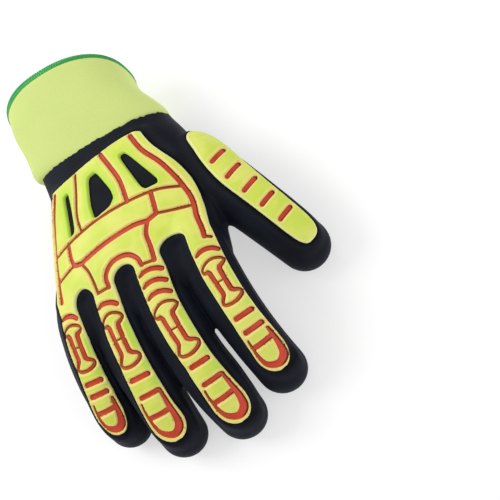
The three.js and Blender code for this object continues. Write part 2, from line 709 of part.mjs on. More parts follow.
// Back guard over the shell, with every groove cut down to its floor.
const guardBand = forms.top.subtract(forms.seat.add(forms.under));
const inlayBand = forms.inlayHigh.subtract(forms.inlayLow.add(forms.under));
const grooves = fingerRows.flatMap((row) => stripGrooves(row).map((groove) => ({ row, groove })));
const cuts = joined([plateGrooveSolid(0), ...grooves.map(({ row, groove }) => grooveSolid(row, groove, 0))]);
const backGuard = guardSolid().intersect(guardBand).subtract(cuts.subtract(forms.floor));
group.add(meshOf(backGuard, 'back_guard', materials.rubber));
group.add(meshOf(plateGrooveSolid(seatGap).intersect(inlayBand), 'hand_groove_floor', materials.groove));
grooves.forEach(({ row, groove }) => {
  const inlay = grooveSolid(row, groove, seatGap).intersect(inlayBand);
  group.add(meshOf(inlay, `${row.name}_${groove.name}`, materials.groove));
});

// Thumb guard and its flex bars.
const thumbEdges = ['outer', 'inner'].map((side) => (
  thumbGuardRows.map((row) => thumbPlace(row.at, row[side] * thumbRow.width))
));
let thumbGuard = thumbUpright([...thumbEdges[0], ...thumbEdges[1].reverse()]).intersect(guardBand);
thumbRow.bars.forEach((at, i) => {
  thumbGuard = thumbGuard.subtract(thumbBar(at, 0).subtract(forms.floor));
  group.add(meshOf(thumbBar(at, seatGap).intersect(inlayBand), `thumb_bar_${i + 1}`, materials.groove));
});
group.add(meshOf(thumbGuard, 'thumb_guard', materials.rubber));

// The glove rests on z = 0 with the middle of its plan at the origin.
const box = new THREE.Box3().setFromObject(group);
const centre = box.getCenter(new THREE.Vector3());
group.children.forEach((mesh) => mesh.geometry.translate(-centre.x, -centre.y, -box.min.z));

export default group;
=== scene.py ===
import math
import bpy
import numpy as np
from mathutils import Matrix, Vector, noise
from mathutils.bvhtree import BVHTree


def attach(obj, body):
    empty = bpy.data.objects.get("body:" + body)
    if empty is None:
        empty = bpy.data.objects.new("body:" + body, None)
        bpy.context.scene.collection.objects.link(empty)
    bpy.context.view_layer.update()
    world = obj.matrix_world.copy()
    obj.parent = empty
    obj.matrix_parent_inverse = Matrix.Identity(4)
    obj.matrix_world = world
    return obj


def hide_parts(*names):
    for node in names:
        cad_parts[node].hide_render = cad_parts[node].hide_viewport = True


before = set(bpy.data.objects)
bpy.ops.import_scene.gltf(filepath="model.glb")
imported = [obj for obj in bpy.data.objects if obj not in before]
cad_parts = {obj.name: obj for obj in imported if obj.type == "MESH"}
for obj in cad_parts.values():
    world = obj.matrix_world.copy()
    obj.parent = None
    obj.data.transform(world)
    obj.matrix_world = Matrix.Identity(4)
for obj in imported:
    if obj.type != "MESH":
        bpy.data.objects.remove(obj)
bpy.ops.object.select_all(action="DESELECT")
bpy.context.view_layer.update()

# The hand's driving sizes in millimetres: fingers towards -Y, thumb towards +X.
hand = {
    "palmLength": 94, "width": 116, "thickness": 54, "edgePower": 2.5, "wristLine": 52,
    "wristWidth": 89, "wristThickness": 45, "wristBottom": 0.2, "wristShift": -4.7,
    "wristSetback": 2.5, "wristSlant": -3.5, "restDrop": 1.6, "flexPower": 2.7,
    "rootSink": 18, "rootLevel": -0.08, "shellWall": 2.4, "guardTop": 4.3,
    "shiftX": -0.23, "shiftY": 20.16,
}
fingerRows = [
    {"name": "index", "across": 0.222, "back": 0.93, "root": 39, "length": 85, "splay": 0.6, "bend": -0.2,
     "roll": 19, "width": 30, "depth": 28, "chevrons": [0.14], "bone": [0.213, 0.5], "bars": [0.585, 0.675],
     "tip": [0.72, 0.911], "tipBars": [0.24], "shift": 0,
     "thumbSide": [1.17, 1.1, 1.03, 1.04, 1.12, 1.27, 1.3], "pinkySide": [0.69, 0.86, 0.99, 0.96, 0.95, 1.02, 1.12]},
    {"name": "middle", "across": -0.065, "back": 0.93, "root": 41, "length": 96, "splay": -0.3, "bend": -0.6,
     "roll": 14, "width": 30, "depth": 28, "chevrons": [0.05, 0.12, 0.19], "bone": [0.255, 0.562],
     "bars": [0.622], "tip": [0.725, 0.945], "tipBars": [0, 0.45], "shift": -0.06,
     "thumbSide": [1.26, 1.13, 1.01, 1.04, 1.06, 1.24, 1.36], "pinkySide": [0.76, 0.93, 1.12, 1.16, 1.03, 1.12, 1.2]},
    {"name": "ring", "across": -0.32, "back": 0.93, "root": 39, "length": 88, "splay": -5.9, "bend": -0.9,
     "roll": 9, "width": 29, "depth": 27.5, "chevrons": [0.08], "bone": [0.15, 0.485], "bars": [0.56],
     "tip": [0.665, 0.921], "tipBars": [0, 0.46], "shift": -0.12,
     "thumbSide": [0.95, 0.87, 0.98, 1.05, 1.13, 1.16, 1.26], "pinkySide": [0.73, 0.8, 0.9, 0.9, 1, 1.2, 1.28]},
    {"name": "pinky", "across": -0.553, "back": 0.93, "root": 35, "length": 67, "splay": -9.5, "bend": -1.6,
     "roll": 7, "width": 27, "depth": 26, "chevrons": [0.0], "bone": [0.082, 0.448], "bars": [0.541, 0.63],
     "tip": [0.69, 0.897], "tipBars": [0.3], "shift": -0.12,
     "thumbSide": [0.66, 0.78, 0.95, 1.06, 1.09, 0.98, 0.86], "pinkySide": [0.61, 0.68, 0.68, 0.65, 0.8, 1.12, 1.22]},
]
stripStations = [0, 0.13, 0.29, 0.45, 0.61, 0.77, 0.86]
thumbRow = {"name": "thumb", "across": 0.33, "back": 0.46, "root": 27, "length": 82, "splay": 25.5, "bend": 1.2,
            "roll": 34, "width": 31, "depth": 29, "bars": [0.18, 0.34, 0.5, 0.66, 0.82]}
# Palm sections: along is a share of palmLength, left and right of width, bottom and top of thickness.
palmRows = {
    "along": [0.18, 0.4, 0.61, 0.83, 1, 1.09, 1.17, 1.22],
    "left": [0.43, 0.475, 0.54, 0.62, 0.655, 0.64, 0.6, 0.54],
    "right": [0.38, 0.4, 0.395, 0.38, 0.355, 0.34, 0.31, 0.26],
    "bottom": [-0.03, -0.035, 0.05, 0.16, 0.25, 0.32, 0.4, 0.48],
    "top": [0.9, 0.955, 0.99, 1, 0.965, 0.93, 0.82, 0.7],
}
fingerSizes = {"at": [-0.3, 0, 0.25, 0.5, 0.75, 1], "size": [0.78, 1, 0.985, 0.97, 0.98, 1]}
# Fingers that lie side by side swell towards each other by so many millimetres: a line for each kind of side.
swelling = {"at": [-0.3, 0, 0.2, 0.45, 0.62, 0.78, 0.9, 1],
            "free": [0, 0, 0, 0, 0, 0, 0, 0], "even": [0, 1.6, 2.0, 2.0, 1.6, 0.7, 0.2, 0],
            "slim": [0, 1.36, 1.7, 1.68, 1.3, 0.6, 0.1, 0], "late": [0, 1.36, 1.7, 1.68, 1.72, 2.55, 1.6, 0],
            "full": [0, 2.2, 2.8, 2.8, 2.6, 2.3, 1.2, 0], "thumbBack": [1.5, 3.2, 3.2, 3.0, 2.8, 2.6, 1.6, 0],
            "sides": {"index": ("free", "slim"), "middle": ("late", "full"), "ring": ("full", "even"),
                      "pinky": ("even", "free"), "thumb": ("thumbBack", "free")}}


def toFrame(points):
    moved = np.array(points, float)
    moved[..., 0] += hand["shiftX"]
    moved[..., 1] += hand["shiftY"]
    return moved / 1000


def clean(piece):
    bpy.ops.object.select_all(action="DESELECT")
    piece.select_set(True)
    bpy.context.view_layer.objects.active = piece


def editAll(piece):
    clean(piece)
    bpy.ops.object.mode_set(mode="EDIT")
    bpy.ops.mesh.select_all(action="SELECT")


def readPoints(piece):
    flat = np.zeros(len(piece.data.vertices) * 3)
    piece.data.vertices.foreach_get("co", flat)
    return flat.reshape(-1, 3)


def writePoints(piece, points):
    piece.data.vertices.foreach_set("co", np.asarray(points, float).ravel())
    piece.data.update()


def applyAll(piece):
    clean(piece)
    for modifier in list(piece.modifiers):
        bpy.ops.object.modifier_apply(modifier=modifier.name)


def addTo(piece, kind, **settings):
    modifier = piece.modifiers.new(kind.title(), kind)
    for key, value in settings.items():
        setattr(modifier, key, value)
    return modifier


def smoothLine(points, steps, closed=False):
    # Catmull-Rom curve through a few given points
    points = np.array(points, float)
    if len(points) == 2:
        share = np.linspace(0, 1, steps + 1)[:, None]
        return points[0] * (1 - share) + points[1] * share
    count = len(points)
    ends = points if closed else np.vstack([2 * points[0] - points[1], points, 2 * points[-1] - points[-2]])
    line = []
    for i in range(count if closed else count - 1):
        p = [ends[(i + k - 1) % count] for k in range(4)] if closed else [ends[i + k] for k in range(4)]
        for t in np.arange(steps) / steps:
            line.append(0.5 * (2 * p[1] + (p[2] - p[0]) * t + (2 * p[0] - 5 * p[1] + 4 * p[2] - p[3]) * t * t
                               + (3 * p[1] - p[0] - 3 * p[2] + p[3]) * t ** 3))
    if not closed:
        line.append(points[-1])
    return np.array(line)


def between(table, key, at, by="along"):
    # smooth interpolation of one column of a table
    spots, values = np.array(table[by], float), np.array(table[key], float)
    slopes = np.gradient(values, spots)
    i = np.clip(np.searchsorted(spots, at) - 1, 0, len(spots) - 2)
    h = spots[i + 1] - spots[i]
    t = np.clip((at - spots[i]) / h, 0, 1)
    return ((2 * t ** 3 - 3 * t ** 2 + 1) * values[i] + (t ** 3 - 2 * t ** 2 + t) * h * slopes[i]
            + (3 * t ** 2 - 2 * t ** 3) * values[i + 1] + (t ** 3 - t ** 2) * h * slopes[i + 1])


def fingerPoint(row, at):
    splay = math.radians(row["splay"])
    sideways = row["bend"] * 4 * at * (1 - at)
    tipHeight = row["depth"] / 2 - hand["restDrop"]
    x = row["across"] * hand["width"] + math.sin(splay) * at * row["length"] + math.cos(splay) * sideways
    y = (hand["wristLine"] - row["back"] * hand["palmLength"] - math.cos(splay) * at * row["length"]
         + math.sin(splay) * sideways)
    z = (tipHeight + (row["root"] - tipHeight) * (1 - np.maximum(at, 0) ** hand["flexPower"])
         + hand["rootSink"] * np.minimum(at - hand["rootLevel"], 0))
    return np.stack([x, y, z + 0 * at], axis=-1)


def unit(v):
    return v / np.linalg.norm(v, axis=-1, keepdims=True)


def fingerFace(row, at, turn, offset, swollen=0):
    # turn is the angle from the thumb side over the back; past 1 the tip rounds off
    at, turn = np.broadcast_arrays(np.asarray(at, float), np.asarray(turn, float))
    along = np.minimum(at, 1)
    tangent = unit(fingerPoint(row, along + 0.01) - fingerPoint(row, along - 0.01))
    across = unit(-np.cross(tangent, [0, 0, 1]))
    up = np.cross(tangent, across)
    up = np.where(up[..., 2:] < 0, -up, up)
    reach = row["width"] / 2 + offset
    ahead = np.minimum(np.maximum(at - 1, 0) * row["length"], reach)
    size = between(fingerSizes, "size", along, "at") * np.sqrt(1 - (ahead / reach) ** 2)
    point = fingerPoint(row, along) + tangent * ahead[..., None]
    thumbSwell, pinkySwell = [between(swelling, key, along, "at") for key in swelling["sides"][row["name"]]]
    swell = np.where(np.cos(turn) > 0, thumbSwell, pinkySwell) * (1 if row["name"] == "thumb" else swollen)
    point = point + across * (np.cos(turn) * (reach * size + swell))[..., None]
    point = point + up * (np.sin(turn) * (row["depth"] / 2 + offset) * size)[..., None]
    point[..., 2] = np.maximum(point[..., 2], -offset)
    return point


def roundedTurn(turn, power):
    # cosine and sine round a superellipse
    return [np.sign(wave) * np.abs(wave) ** (2 / power) for wave in (np.cos(turn), np.sin(turn))]


def palmFace(y, turn, offset):
    # y in millimetres of the hand; turn is the angle round the section
    along = (hand["wristLine"] - y) / hand["palmLength"]
    wrist = {"left": (hand["wristWidth"] / 2 - hand["wristShift"]) / hand["width"],
             "right": (hand["wristWidth"] / 2 + hand["wristShift"]) / hand["width"],
             "bottom": hand["wristBottom"] / hand["thickness"],
             "top": (hand["wristThickness"] + hand["wristBottom"]) / hand["thickness"]}
    setback = hand["wristSetback"] / hand["palmLength"]
    table = {"along": [-0.3, setback] + palmRows["along"]}
    for key in wrist:
        table[key] = [wrist[key], wrist[key]] + palmRows[key]
    left = -between(table, "left", along) * hand["width"]
    right = between(table, "right", along) * hand["width"]
    bottom = between(table, "bottom", along) * hand["thickness"]
    top = between(table, "top", along) * hand["thickness"]
    cos, sin = roundedTurn(turn, hand["edgePower"])
    x = (left + right) / 2 + ((right - left) / 2 + offset) * cos
    z = np.maximum((top + bottom) / 2 + ((top - bottom) / 2 + offset) * sin, -offset)
    slant = np.tan(np.radians(hand["wristSlant"])) * np.clip(1 - 2 * along, 0, 1)
    return np.stack([x, y + slant * (x - hand["wristShift"]), z], axis=-1)


def ballPiece(name, place, segments, rings):
    # a ball whose height and turn become the place along and round a hand form
    bpy.ops.mesh.primitive_uv_sphere_add(segments=segments, ring_count=rings, radius=1)
    piece = bpy.context.object
    piece.name = name
    co = readPoints(piece)
    share = np.arcsin(np.clip(co[:, 2], -1, 1)) / math.pi + 0.5
    pole = np.abs(np.abs(co[:, 2]) - 1) < 1e-5
    writePoints(piece, toFrame(place(share, np.arctan2(co[:, 1], co[:, 0]), pole)))
    return piece


# The balls that make the hand form: how far the first lies behind the root or the wrist, and their meshes.
formSizes = {"start": -0.3, "tipShare": 0.78, "overrun": 14, "palmMiddle": 28, "finger": (56, 64), "palm": (96, 72),
             "smoothing": 9}


def handForm(name, offset, voxel, swollen):
    start, tipShare = formSizes["start"], formSizes["tipShare"]
    parts = []
    for row in fingerRows + [thumbRow]:
        def fingerPlace(share, turn, pole, row=row):
            reach = row["width"] / 2 + offset
            bend = np.sin(np.clip((share - tipShare) / (1 - tipShare), 0, 1) * math.pi / 2)
            at = np.where(share < tipShare, start + (1 - start) * share / tipShare, 1 + bend * reach / row["length"])
            spots = fingerFace(row, at, turn, offset, swollen)
            spots[pole & (share < 0.5)] = fingerPoint(row, np.array(start))
            return spots
        parts.append(ballPiece(row["name"], fingerPlace, *formSizes["finger"]))

    def palmPlace(share, turn, pole):
        rear = hand["wristLine"] - hand["wristSetback"] + formSizes["overrun"]
        y = rear + share * (hand["wristLine"] - palmRows["along"][-1] * hand["palmLength"] - rear)
        spots = palmFace(y, turn, offset)
        spots[pole] = np.array([0, 0, formSizes["palmMiddle"]]) + np.stack([0 * y, y, 0 * y], axis=-1)[pole]
        return spots
    parts.append(ballPiece("palm", palmPlace, *formSizes["palm"]))
    bpy.ops.object.select_all(action="DESELECT")
    for part in parts:
        part.select_set(True)
    bpy.context.view_layer.objects.active = parts[-1]
    bpy.ops.object.join()
    form = bpy.context.object
    form.name = name
    editAll(form)
    bpy.ops.mesh.normals_make_consistent(inside=False)
    bpy.ops.object.mode_set(mode="OBJECT")
    addTo(form, "REMESH", mode="VOXEL", voxel_size=voxel / 1000)
    addTo(form, "SMOOTH", factor=0.5, iterations=formSizes["smoothing"])
    applyAll(form)
    return form


# Shader maths on sockets.
class Level:
    def __init__(self, finish, socket):
        self.finish, self.socket = finish, socket

    def through(self, operation, *values):
        node = self.finish.node("ShaderNodeMath", {"operation": operation}, dict(enumerate(values)))
        return Level(self.finish, node.outputs[0])

    def __add__(self, other):
        return self.through("ADD", self, other)

    def __radd__(self, other):
        return self.through("ADD", other, self)

    def __sub__(self, other):
        return self.through("SUBTRACT", self, other)

    def __rsub__(self, other):
        return self.through("SUBTRACT", other, self)

    def __mul__(self, other):
        return self.through("MULTIPLY", self, other)

    def __rmul__(self, other):
        return self.through("MULTIPLY", other, self)

    def wave(self):
        return self.through("SINE", self)

    def size(self):
        return self.through("ABSOLUTE", self)

    def ramp(self, start, end):
        sockets = {"Value": self, "From Min": start, "From Max": end}
        node = self.finish.node("ShaderNodeMapRange", {"interpolation_type": "SMOOTHSTEP"}, sockets)
        return Level(self.finish, node.outputs[0])


class Finish:
    def __init__(self, name, **fixed):
        self.material = bpy.data.materials.new(name)
        self.material.use_nodes = True
        self.tree = self.material.node_tree
        self.tree.nodes.clear()
        output = self.tree.nodes.new("ShaderNodeOutputMaterial")
        self.shader = self.node("ShaderNodeBsdfPrincipled", {}, fixed)
        self.tree.links.new(self.shader.outputs[0], output.inputs[0])
        self.places = self.node("ShaderNodeTexCoord").outputs["Object"]

    def node(self, kind, settings=None, sockets=None):
        made = self.tree.nodes.new(kind)
        for key, value in (settings or {}).items():
            setattr(made, key, value)
        for key, value in (sockets or {}).items():
            self.join(value, made.inputs[key])
        return made

    def join(self, value, target):
        if isinstance(value, Level):
            value = value.socket
        if isinstance(value, bpy.types.NodeSocket):
            self.tree.links.new(value, target)
        else:
            target.default_value = value

    def put(self, key, value):
        self.join(value, self.shader.inputs[key])

    def grain(self, scale, detail=2.0, roughness=0.5, place=None):
        sockets = {"Vector": place or self.places, "Scale": scale, "Detail": detail, "Roughness": roughness}
        return Level(self, self.node("ShaderNodeTexNoise", {}, sockets).outputs["Fac"])

    def attribute(self, name):
        return Level(self, self.node("ShaderNodeAttribute", {"attribute_name": name}).outputs["Fac"])

    def tubePlace(self):
        # the piece's own UV: u runs round the tube, v along it
        split = self.node("ShaderNodeSeparateXYZ", {}, {0: self.node("ShaderNodeUVMap").outputs[0]})
        return Level(self, split.outputs[0]), Level(self, split.outputs[1])

    def mix(self, factor, first, second):
        node = self.node("ShaderNodeMix", {"data_type": "RGBA"}, {0: factor, 6: first, 7: second})
        return node.outputs[2]

    def bump(self, height, distance, strength=1.0):
        sockets = {"Height": height, "Distance": distance, "Strength": strength}
        self.put("Normal", self.node("ShaderNodeBump", {}, sockets).outputs[0])


def coatingFinish():
    finish = Finish("sandyCoating", **{"Specular IOR Level": 0.14, "Sheen Weight": 0.035, "Sheen Roughness": 0.4,
                                       "Sheen Tint": (0.55, 0.65, 1, 1)})
    sand = finish.grain(1700, 3, 0.6)
    patches = finish.grain(60, 3)
    colour = finish.mix(patches.ramp(0.3, 0.7), (0.003, 0.0044, 0.0085, 1), (0.006, 0.0082, 0.016, 1))
    finish.put("Base Color", finish.mix(sand.ramp(0.55, 0.8) * 0.45, colour, (0.024, 0.027, 0.04, 1)))
    finish.put("Roughness", 0.55 + sand * 0.25)
    finish.bump(sand + patches * 0.6, 0.00035, 0.7)
    return finish.material


def knitFinish():
    look = {"Specular IOR Level": 0.15, "Sheen Weight": 0.15, "Sheen Roughness": 0.5, "Sheen Tint": (1, 1, 0.8, 1)}
    finish = Finish("cuffKnit", **look)
    u, v = finish.tubePlace()
    wale = (u * (2 * math.pi * 190)).wave()
    course = (v * (2 * math.pi * 46) + wale * 1.2).wave()
    fuzz = finish.grain(900, 3, 0.65)
    stitch = wale * 0.3 + course * 0.35
    soft = finish.grain(45, 2)
    colour = finish.mix(fuzz.ramp(0.3, 0.75), (0.6, 0.715, 0.215, 1), (0.7, 0.79, 0.3, 1))
    colour = finish.mix(soft.ramp(0.35, 0.7) * 0.4, colour, (0.72, 0.8, 0.31, 1))
    finish.put("Base Color", finish.mix(stitch.ramp(-0.6, 0.1) * 0.5, (0.61, 0.72, 0.22, 1), colour))
    finish.put("Roughness", 0.82)
    finish.bump(stitch * 0.25 + fuzz, 0.0002, 0.6)
    return finish.material


def threadFinish():
    finish = Finish("hemThread", **{"Specular IOR Level": 0.3, "Sheen Weight": 0.2, "Sheen Roughness": 0.4})
    u, v = finish.tubePlace()
    twist = (u * (2 * math.pi * 230) + v * 9).wave()
    fuzz = finish.grain(1500, 2)
    colour = finish.mix(twist.ramp(-0.9, 0.5), (0.03, 0.33, 0.06, 1), (0.09, 0.6, 0.16, 1))
    finish.put("Base Color", finish.mix(fuzz.ramp(0.55, 0.8) * 0.5, colour, (0.25, 0.75, 0.3, 1)))
    finish.put("Roughness", 0.75)
    finish.bump(twist + fuzz * 0.5, 0.0004, 0.8)
    return finish.material


def rubberFinish():
    # edge: mm from the plate's edge, groove: mm from the nearest groove, depth: mm below the top, tint: 0 to 1, the
    # share of painted shade
    look = {"Specular IOR Level": 0.3, "Subsurface Weight": 0.08, "Subsurface Radius": (0.5, 0.6, 0.1),
            "Subsurface Scale": 0.002}
    finish = Finish("limeRubber", **look)
    edge = finish.attribute("edge")
    groove = finish.attribute("groove")
    depth = finish.attribute("depth")
    shadeTint = finish.attribute("shadeTint")
    cloud = finish.grain(70, 2)
    top = finish.mix(cloud.ramp(0.35, 0.65), (0.62, 0.735, 0.09, 1), (0.73, 0.77, 0.15, 1))
    # painted shade: the rubber turns greener where the tint marks it as lying in shade
    top = finish.mix(shadeTint * 0.9, top, (0.46, 0.72, 0.05, 1))
    # painted highlight: a pale rim along the guard's outer edge
    outer = finish.mix((1 - edge.ramp(0.4, 1.5)) * 0.8, top, (0.88, 0.86, 0.45, 1))
    # painted highlight: a peach rim along each groove
    highlightedColour = finish.mix((1 - groove.ramp(0.4, 2.2)) * 0.85, outer, (0.9, 0.71, 0.24, 1))
    finish.put("Base Color", finish.mix(depth.ramp(0.9, 2.2), highlightedColour, (0.68, 0.74, 0.15, 1)))
    finish.put("Roughness", 0.42 + cloud * 0.12)
    finish.bump(finish.grain(2600, 2) * 0.4 + cloud * 0.3, 0.0001, 0.5)
    return finish.material


def grooveFinish():
    # edge: mm from the groove's side, width: half the groove's width, side: 1 where that side is the thumb side, whose
    # edge gets the darker painted shade
    finish = Finish("redRubber", **{"Specular IOR Level": 0.25})
    edge = finish.attribute("edge")
    width = finish.attribute("width")
    side = finish.attribute("side")
    cloud = finish.grain(120, 2)
    red = finish.mix(cloud.ramp(0.35, 0.65), (0.6, 0.05, 0.024, 1), (0.68, 0.07, 0.034, 1))
    brown = finish.mix(cloud.ramp(0.35, 0.65), (0.45, 0.09, 0.012, 1), (0.5, 0.12, 0.016, 1))
    floor = finish.mix(width.ramp(0.85, 1.3), brown, red)
    # painted shade: a thin brown band along each side of the groove, where its walls would shade the floor
    litSideShade = finish.mix(edge.ramp(0.2, 0.6), (0.4, 0.09, 0.012, 1), floor)
    # painted shade: a deeper, wider band along the thumb-side edge
    shaded = finish.mix(edge.ramp(0.45, 0.8), (0.13, 0.016, 0.006, 1), floor)
    finish.put("Base Color", finish.mix(side.ramp(-0.1, 0.5), litSideShade, shaded))
    finish.put("Roughness", 0.42 + cloud * 0.12)
    finish.bump(finish.grain(2600, 2), 0.00008, 0.5)
    return finish.material


finishes = {"coating": coatingFinish(), "knit": knitFinish(), "thread": threadFinish(),
            "rubber": rubberFinish(), "groove": grooveFinish()}


def register(piece, slot, *nodes):
    piece.data.materials.clear()
    piece.data.materials.append(finishes[slot])
    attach(piece, "root")
    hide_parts(*nodes)
    clean(piece)
    bpy.ops.object.shade_smooth()


# Shell: the hand form, cut open at the wrist and given its wall.
shellSizes = {"voxel": 1.2, "edgeNoise": 0.9}


def raiseLining(shell, outline, windows, toWorld, height, fade):
    # the cloth is swollen in the windows and round the outline of a guard, so the guard sits bedded in it
    origin, axisX, axisY, axisZ = toWorld
    co = readPoints(shell)
    normals = np.zeros(len(co) * 3)
    shell.data.vertices.foreach_get("normal", normals)
    normals = normals.reshape(-1, 3)
    local = (co - origin) * 1000
    points = np.stack([local @ axisX, local @ axisY], axis=1)
    facing = normals @ axisZ
    near = np.where((facing > 0.1) & np.all((points > outline.min(axis=0) - fade)
                                             & (points < outline.max(axis=0) + fade), axis=1))[0]
    spots = points[near]
    gap = areaDistance(spots, outline, [])
    share = np.clip(1 + gap / fade, 0, 1) * np.clip(1 - gap / 1.6, 0, 1)
    share = share * share * (3 - 2 * share)
    for window in windows:
        gap = areaDistance(spots, window, [])
        share = np.maximum(share, np.clip(1 + gap / 1.6, 0, 1))
    share *= np.clip((facing[near] - 0.1) / 0.3, 0, 1)
    co[near] += normals[near] * (share * height / 1000)[:, None]
    writePoints(shell, co)


def makeShell():
    shell = handForm("gloveShell", 0, shellSizes["voxel"], 1)
    raiseLining(shell, guardOutline(), [roundedWindow(window) for window in plateWindows], flatPlan(),
                guardSizes["lining"], guardSizes["liningFade"])
    outline, _, toWorld = thumbGuardPlan()
    raiseLining(shell, outline, [], toWorld, guardSizes["lining"], guardSizes["liningFade"])
    slope = math.tan(math.radians(hand["wristSlant"]))
    point = toFrame([hand["wristShift"], hand["wristLine"] - hand["wristSetback"], 0])
    editAll(shell)
    bpy.ops.mesh.bisect(plane_co=point, plane_no=Vector((-slope, 1, 0)).normalized(), clear_outer=True)
    bpy.ops.object.mode_set(mode="OBJECT")
    co = readPoints(shell)
    rimDistance = (point[1] + slope * (co[:, 0] - point[0]) - co[:, 1]) * 1000
    for i in np.where(rimDistance < 3)[0]:
        ragged = noise.noise(Vector(co[i]) * 420) + 0.6 * noise.noise(Vector(co[i]) * 1100)
        co[i, 1] += ragged * shellSizes["edgeNoise"] / 1000 * max(0, 1 - rimDistance[i] / 3)
    writePoints(shell, co)
    addTo(shell, "SOLIDIFY", thickness=hand["shellWall"] / 1000, offset=-1)
    applyAll(shell)
    register(shell, "coating", "glove_shell")
    return shell


# Cuff and hem.
cuffSizes = {"length": 35.5, "mouthWidth": 79, "mouthHeight": 54, "lean": 6, "mouthSlant": 30, "wall": 2.2,
             "step": 0.8, "tuck": 5, "edgePower": 2.3, "sides": 200, "rows": 50, "hem": 4.0}
cuffBulges = {"along": [-0.2, -0.03, 0.04, 0.12, 0.3, 0.45, 0.6, 0.8, 1, 1.2],
              "thumb": [0.97, 0.985, 1.03, 1.04, 1.02, 0.985, 0.955, 0.96, 1, 1.02],
              "pinky": [0.97, 0.985, 1.09, 1.125, 1.11, 1.1, 1.1, 1.105, 1.06, 1.03]}


def cuffFace(along, turn, offset):
    c = cuffSizes
    width = hand["wristWidth"] - 2 * c["step"]
    height = hand["wristThickness"] - 2 * c["step"]
    lean = -math.tan(math.radians(c["lean"])) * c["length"] * along
    share = np.clip(along, 0, 1.2)
    halfWidth = (width + (c["mouthWidth"] - width) * share) / 2
    tall = height + (c["mouthHeight"] - height) * share
    middle = (hand["wristBottom"] + hand["wristThickness"] / 2) * (1 - share)
    middle = middle + (c["mouthHeight"] / 2 - hand["restDrop"]) * share
    cos, sin = roundedTurn(turn, c["edgePower"])
    bulge = np.where(cos > 0, between(cuffBulges, "thumb", along), between(cuffBulges, "pinky", along))
    x = hand["wristShift"] + lean + (halfWidth * bulge + offset) * cos
    z = np.maximum(middle + (tall / 2 + offset) * sin, -np.minimum(offset, 0))
    y = hand["wristLine"] - hand["wristSetback"] + along * c["length"]
    y = y + math.tan(math.radians(hand["wristSlant"])) * (x - hand["wristShift"] - lean)
    y = y + np.tan(np.radians(c["mouthSlant"] * share)) * (z - middle)
    return np.stack([x, y, z], axis=-1)


def tubePiece(name, around, rows):
    # a grid whose sides will meet: its own UV runs round and along the tube
    bpy.ops.mesh.primitive_grid_add(x_subdivisions=around, y_subdivisions=rows, size=1)
    piece = bpy.context.object
    piece.name = name
    co = readPoints(piece)
    return piece, (co[:, 0] + 0.5) * 2 * math.pi, co[:, 1] + 0.5


def closeTube(piece):
    editAll(piece)
    bpy.ops.mesh.remove_doubles(threshold=1e-6)
    bpy.ops.mesh.normals_make_consistent(inside=False)
    bpy.ops.object.mode_set(mode="OBJECT")


def makeCuff():
    c = cuffSizes
    cuff, turn, share = tubePiece("cuff", c["sides"], c["rows"])
    along = -c["tuck"] / c["length"] + share * (1 + c["tuck"] / c["length"])
    spots = cuffFace(along, turn, 0)
    for i, spot in enumerate(spots):  # soft unevenness of a worn knit
        spots[i, 2] += noise.noise(Vector(spot) * 0.05) * 0.8 * np.clip(along[i], 0, 1) * (spot[2] > 8)
    spots[np.isclose(turn, 2 * math.pi)] = spots[np.isclose(turn, 0)]
    writePoints(cuff, toFrame(spots))
    closeTube(cuff)
    addTo(cuff, "SOLIDIFY", thickness=c["wall"] / 1000, offset=-1)
    applyAll(cuff)
    register(cuff, "knit", "cuff")
    return cuff


def makeHem():
    c = cuffSizes
    hem, turn, share = tubePiece("cuffHem", 1400, 18)
    ring = share * 2 * math.pi
    thread = 0.16 * np.sin(turn * 230 + ring * 2)  # slanting overlock threads round the edge
    spots = cuffFace(np.ones(len(turn)), turn, 0)
    inner = cuffFace(np.ones(len(turn)), turn, -c["wall"])
    middle = (spots + inner) / 2
    outward = unit(spots - inner)
    halfWall = c["wall"] / 2 + 0.35 + thread
    halfLength = (c["hem"] / 2 + 0.2) * (1 - 0.35 * np.clip(np.cos(turn - 0.4), 0, 1)) + thread
    spots = middle + outward * (np.cos(ring) * halfWall)[:, None]
    spots[:, 1] += c["hem"] / 2 + np.sin(ring) * halfLength
    spots[:, 2] = np.maximum(spots[:, 2], 0)
    writePoints(hem, toFrame(spots))
    closeTube(hem)
    register(hem, "thread", "cuff_hem")
    return hem


# The guard, drawn on the plan of the hand in shares of its width (across) and palm length (along).
guardSizes = {"cell": 0.5, "stripHalf": 9.2, "stripRim": 2.1, "capReach": 10.7, "wide": 2.8, "narrow": 1.7,
              "bar": 3.0, "rim": 0.8, "bead": 0.3, "crown": 0.7, "grooveWall": 0.4, "grooveDepth": 1.8,
              "wallDepth": 4.4, "lining": 2.3, "liningFade": 6}
stripCap = {"run": [0, 0.2, 0.4, 0.55, 0.7, 0.8, 0.88, 0.95, 1],
            "size": [1, 0.985, 0.94, 0.875, 0.77, 0.66, 0.54, 0.38, 0.2]}
plateTop = [[-0.34, 0.172], [-0.2, 0.165], [-0.06, 0.148], [0.08, 0.135], [0.2, 0.133], [0.243, 0.155]]
plateThumbSide = [[0.243, 0.155], [0.265, 0.26], [0.295, 0.344], [0.336, 0.446], [0.36, 0.545], [0.37, 0.631],
                  [0.37, 0.714]]
platePinkySide = [[-0.578, 0.82], [-0.54, 0.64], [-0.5, 0.48], [-0.42, 0.3], [-0.34, 0.172]]
plateWindows = [
    [[0.09, 0.235], [0.132, 0.235], [0.225, 0.5], [0.218, 0.53], [0.15, 0.525], [0.13, 0.49]],
    [[-0.11, 0.246], [-0.055, 0.24], [-0.02, 0.4], [-0.022, 0.46], [-0.06, 0.495], [-0.168, 0.51], [-0.156, 0.4]],
    [[-0.285, 0.256], [-0.248, 0.25], [-0.262, 0.34], [-0.298, 0.5], [-0.34, 0.513], [-0.318, 0.42]],
]
slotTops = [0.871, 0.868, 0.848]
